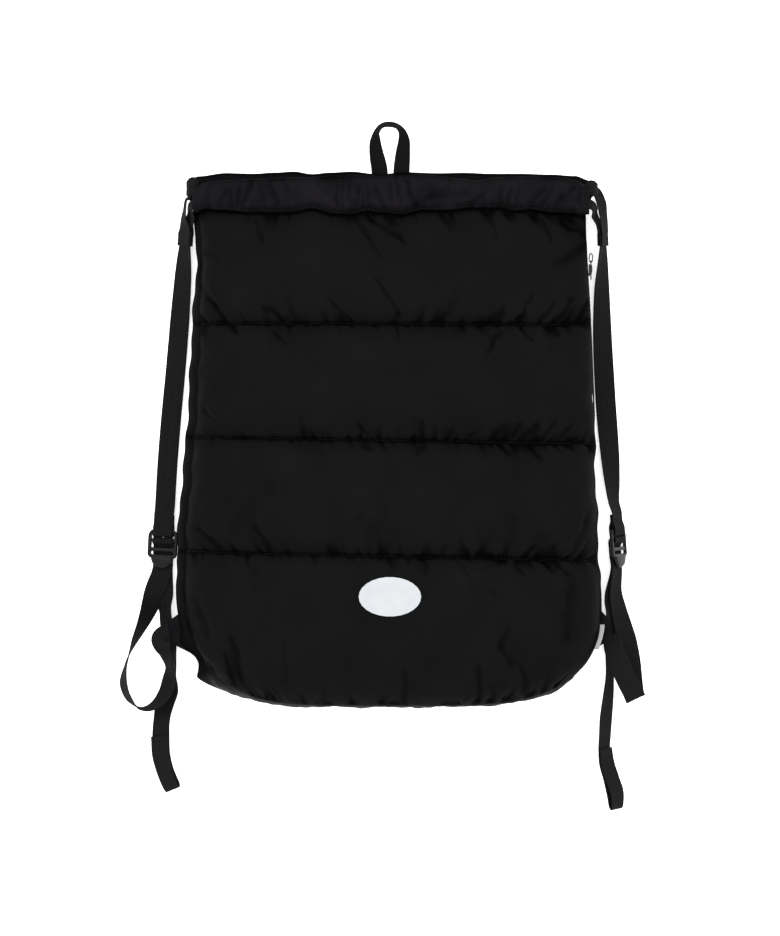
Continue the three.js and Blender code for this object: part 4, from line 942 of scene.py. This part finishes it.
# Lower straps: out, up, height, tilt and the way that it faces, and how many layers the hem's end gapes
LOWER = {
    "left": {
        "slack": [(1.026, -0.279, 0.235, 0, 90), (1.042, -0.28, 0.24, 0, 85), (1.064, -0.288, 0.245, -5, 45),
                  (1.062, -0.304, 0.243, -32, 8), (1.047, -0.319, 0.235, -56), (1.029, -0.345, 0.235, -69),
                  (1.031, -0.375, 0.22, -48), (1.054, -0.401, 0.205, -52), (1.105, -0.4235, 0.17, -66),
                  (1.173, -0.4285, 0.124, -90), (1.222, -0.409, 0.122, -108), (1.245, -0.381, 0.12, -112),
                  (1.2365, -0.3465, 0.122, -98), (1.217, -0.319, 0.12, -90), (1.194, -0.294, None, -76),
                  (1.164, -0.267, None, -62), (1.136, -0.239, None, -46), (1.113, -0.212, 0.07, -24),
                  (1.095, -0.188, 0.08, -4)],
        "tail": [(1.053, -0.2, 0.055, -30), (1.049, -0.233, None, -54), (1.042, -0.261, None, -50),
                 (1.028, -0.296, None, -48), (1.0095, -0.33, None, -74), (1.005, -0.358, None, -82),
                 (1.017, -0.391, 0.097, -48), (1.049, -0.419, None, -28), (1.0655, -0.452, None, -36),
                 (1.07, -0.488, None, -32), (1.0655, -0.5245, None, -34), (1.0445, -0.559, None, -38),
                 (1.0115, -0.5915, None, -42)],
        "open": 0},
    "right": {
        "slack": [(1.052, -0.276, 0.33, 50, 25), (1.058, -0.305, 0.27, 28), (1.09, -0.342, 0.2, 8),
                  (1.125, -0.374, 0.155, 0), (1.153, -0.398, 0.125, 0, 26), (1.166, -0.411, 0.085, 0, 26),
                  (1.158, -0.3985, 0.045, 0, 26), (1.152, -0.376, None, 4), (1.144, -0.337, None, 13),
                  (1.127, -0.2937, None, 21), (1.105, -0.2594, None, 30), (1.0875, -0.2309, None, 40),
                  (1.076, -0.2087, 0.105, 48), (1.072, -0.188, 0.12, 55)],
        "tail": [(1.053, -0.205, 0.11, -44), (1.057, -0.236, None, -50), (1.046, -0.272, None, -56),
                 (1.045, -0.31, None, -62), (1.0445, -0.36, None, -66), (1.0375, -0.403, None, -58),
                 (1.026, -0.452, None, -52), (1.021, -0.4885, None, -54), (1.018, -0.5125, None, -54),
                 (1.026, -0.5426, None, -48), (1.047, -0.573, None, -46), (1.061, -0.606, None, -50),
                 (1.07, -0.632, None, -54)],
        "open": 1.6}}


def lower_strap(name):
    side = SIDES[name]
    slack, tail, gape = LOWER[name]["slack"], LOWER[name]["tail"], LOWER[name]["open"]
    behind = BAR_T / 2 + CLEAR
    low, high = MIDDLE_BAR
    # Up behind the buckle's lower bar, round its middle bar and down again behind the first run
    under = -behind - LAYER
    bars = [(-20, -behind - 0.2), (-4, -behind - 0.1), (1.3, -behind), (low - 2.2, -behind * 0.6),
            (low - 1.2, 0), (low - 0.8, behind * 0.8), (low + 0.3, behind + 0.25), (high - 0.3, behind + 0.25),
            (high + 0.8, behind * 0.8), (high + 1.2, 0), (high + 0.7, -behind * 0.9), (low + 1, under - 0.2),
            (0, under - 0.5), (-8, under - 0.4), (-20, under - 0.3)]
    last, before = stop(side, *tail[-1]), stop(side, *tail[-2])
    run = (last["place"] - before["place"]).normalized()
    wide = flat_wide(run, side, last["tilt"])
    n = run.cross(wide).normalized()
    if n.z < 0:
        n.negate()
    bend = [{"place": last["place"] + run * f + n * o, "width": WEB_W, "wide": wide.copy()}
            for f, o in ((0, 0), (WEB_T, LAYER * 0.7), (0, LAYER * 1.4))]
    folded = tail[-4 if side < 0 else -5:-1][::-1]
    hem = [stop(side, o, up, h, -t, off=1.3 + (0 if i else gape)) for i, (o, up, h, t) in enumerate(folded)]
    stops = [stop(side, *row) for row in slack] + [bar_stop(name, a, o) for a, o in bars]
    stops += [stop(side, *row) for row in tail[:-1]] + bend + hem
    return webbing(f"adjuster_{name}", f"lower_strap_{name}", stops, 7)


def stitch_row(route_of, pixel_row, width, ends):
    """A line across a strap's upper face, where the strap passes a row of the photograph."""
    path, face = route_of
    y = px(0, pixel_row)[1]
    t = min(np.linspace(*ends, 400), key=lambda v: abs(path.at(v).y - y))
    at, w, n = section(path, face, t)
    if n.z < 0:
        n.negate()
    points = [at + w * (k * width) + n * (WEB_T * 0.5) for k in np.linspace(-0.42, 0.42, 12)]
    return [tuple(v) for v in points], [tuple(n)] * len(points)


# Each strap's stitch row, at its height in the photograph
rows = []
for name, hem_top in (("left", 750), ("right", 755)):
    cord, strap, lower = drawstring(name), shoulder_strap(name), lower_strap(name)
    rows.append(stitch_row(cord, 235, WEB_W, (0.0, 0.1)))
    rows.append(stitch_row(strap, 517, WEB_W, (0.2, 0.75)))
    rows.append(stitch_row(lower, hem_top, WEB_W, (0.85, 1.0)))

HANG = [(-0.034, 0.584, 0.0135, 0, 180), (-0.0375, 0.64, 0.0135, 0, 180), (-0.041, 0.668, None, 10),
        (-0.055, 0.7, None, 32), (-0.0605, 0.724, None, 50), (-0.055, 0.7405, None, 72),
        (-0.031, 0.7545, None, 78), (0.003, 0.758, None, 76), (0.043, 0.754, None, 76),
        (0.067, 0.7425, None, 66), (0.0755, 0.7265, None, 48), (0.071, 0.702, None, 30),
        (0.064, 0.668, None, 10), (0.062, 0.64, 0.0135, 0, 0), (0.06, 0.584, 0.0135, 0, 0)]
loop = webbing("top_loop", "hang_loop", [stop(1, *row, width=LOOP_W) for row in HANG])
rows += [stitch_row(loop, 170, LOOP_W, ends) for ends in ((0.0, 0.3), (0.7, 1.0))]
stitches("strap_stitches", rows, 2.2, 0.9, 0.25)


def ladder_lock(name):
    """A buckle with a rounded frame, two round bars and a pillowed lip, in the solid's place."""
    middle, u, v, n = buckle_frame(name)
    right = u * SIDES[name]
    verts, faces = [], []
    around = 20

    def quads_between(a, b, size):
        return [(a + k, b + k, b + (k + 1) % size, a + (k + 1) % size) for k in range(size)]

    def caps(first, last, size):
        faces.extend((range(first, first + size), range(last + size - 1, last - 1, -1)))

    def tube(points, half, tall, z, closed):
        start, count = len(verts), len(points)
        for i, (x, y) in enumerate(points):
            before = points[(i - 1) % count if closed else max(i - 1, 0)]
            after = points[(i + 1) % count if closed else min(i + 1, count - 1)]
            dx, dy = after[0] - before[0], after[1] - before[1]
            size = hypot(dx, dy)
            for k in range(around):
                a = 2 * pi * k / around
                c = copysign(abs(cos(a)) ** 0.8, cos(a)) * half
                h = copysign(abs(sin(a)) ** 0.8, sin(a)) * tall
                verts.append((x - dy / size * c, y + dx / size * c, z + h))
        for i in range(count if closed else count - 1):
            a, b = start + i * around, start + (i + 1) % count * around
            faces.extend(quads_between(a, b, around))
        if not closed:
            caps(start, start + (count - 1) * around, around)

    # The frame: a ring through its rounded corners, in mm across and along from the buckle's middle
    wide, low, high = 12.37, -7.4, 16.2
    loop_points = []
    corners = ((wide, high, 5, 0), (-wide, high, 5, 90), (-wide, low, 3, 180), (wide, low, 3, 270))
    for cx, cy, r, turn_from in corners:
        for g in range(0, 91, 10):
            a = rad(turn_from + g)
            loop_points.append((cx + r * (cos(a) - copysign(1, cx)),
                                cy + r * (sin(a) - copysign(1, cy))))
    tube(loop_points, 1.85, 1.6, 0.4, True)
    for bar_low, bar_high in (MIDDLE_BAR, LOWER_BAR):
        bar = [(x, (bar_low + bar_high) / 2) for x in np.linspace(-12.3, 12.3, 9)]
        tube(bar, (bar_high - bar_low) / 2, BAR_T / 2, 0, False)
    # The lip: rings of its outline, from the pillowed top down to the underside
    outline = [(10.5 * cos(rad(g)), -8 + 10.4 * sin(rad(g))) for g in range(180, 361, 6)]
    outline += [(x, -7.2) for x in np.linspace(9.4, -9.4, 9)]
    rings = ((0.3, 2.75), (0.7, 2.65), (0.88, 2.4), (0.96, 1.9), (1, 1.1), (1, 0), (0.96, -0.8), (0.88, -1.15),
             (0.3, -1.2))
    start, count = len(verts), len(outline)
    for share, z in rings:
        verts += [(x * share, -11 + (y + 11) * share, z) for x, y in outline]
    for i in range(len(rings) - 1):
        faces.extend(quads_between(start + i * count, start + (i + 1) * count, count))
    caps(start, start + (len(rings) - 1) * count, count)
    placed = [tuple(middle + right * x + v * y + n * z) for x, y, z in verts]
    obj = new_object(f"ladder_lock_{name}", placed, faces, PLASTIC)
    tidy = bmesh.new()
    tidy.from_mesh(obj.data)
    bmesh.ops.recalc_face_normals(tidy, faces=tidy.faces)
    tidy.to_mesh(obj.data)
    tidy.free()
    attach(obj, "root")
    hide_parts(f"buckle_{name}")


for name in SIDES:
    ladder_lock(name)


# Hard parts and small sewn ones keep their solids. The slider's edges are softened.
for node, material in (("zip_slider", BLACK_METAL), ("zip_pull", BLACK_METAL), ("zip_chain", zip_teeth()),
                       ("corner_tab_left", PLAIN), ("corner_tab_right", PLAIN), ("oval_patch", SATIN),
                       ("side_tag", TAG_CLOTH)):
    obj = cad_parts[node]
    obj.data.materials.clear()
    obj.data.materials.append(material)
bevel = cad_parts["zip_slider"].modifiers.new("soft_edges", "BEVEL")
bevel.width = 0.3 * MM
bevel.segments = 4
bevel.limit_method = "ANGLE"
bevel.angle_limit = rad(35)

# The surface that it lies on, the light and the camera
# Painted light: the floor glows evenly, which also brightens the shadows that fall on it
glowing_floor_paint = plastic_like("pale_floor", grey(0.93), grey(0.95), 0.8, 0.05,
                           Emission_Color=(1, 1, 1, 1), Emission_Strength=0.6)
floor = new_object("floor", [(-4000, -4000, 0), (4000, -4000, 0), (4000, 4000, 0), (-4000, 4000, 0)],
                   [(0, 1, 2, 3)], glowing_floor_paint, smooth=False)

world = bpy.data.worlds.new("studio")
bpy.context.scene.world = world
world.use_nodes = True
world.node_tree.nodes["Background"].inputs["Color"].default_value = (1, 1, 1, 1)
world.node_tree.nodes["Background"].inputs["Strength"].default_value = 2.2
bpy.context.scene.view_settings.view_transform = "Standard"


def area_light(name, place, size, power):
    data = bpy.data.lights.new(name, "AREA")
    data.shape = "RECTANGLE"
    data.size, data.size_y = size
    data.energy = power
    obj = bpy.data.objects.new(name, data)
    bpy.context.scene.collection.objects.link(obj)
    obj.location = place
    obj.rotation_euler = (Vector((0, 0, 0.03)) - Vector(place)).to_track_quat("-Z", "Y").to_euler()


area_light("key", (-0.7, 0.9, 2.4), (1.6, 1.2), 16)
area_light("fill", (1.2, -0.5, 2.2), (1.6, 1.6), 5)

camera_data = bpy.data.cameras.new("camera")
camera = bpy.data.objects.new("camera", camera_data)
bpy.context.scene.collection.objects.link(camera)
CAMERA_HIGH, BODY_MIDDLE = 6.0, 0.04
x, y = px(PHOTO_X, PHOTO_Y)
camera.location = (x * MM, y * MM, BODY_MIDDLE + CAMERA_HIGH)
camera_data.sensor_fit = "VERTICAL"
camera_data.angle = 2 * atan(PHOTO_H * PX_MM * MM / 2 / CAMERA_HIGH)
camera_data.clip_end = 50
bpy.context.scene.camera = camera
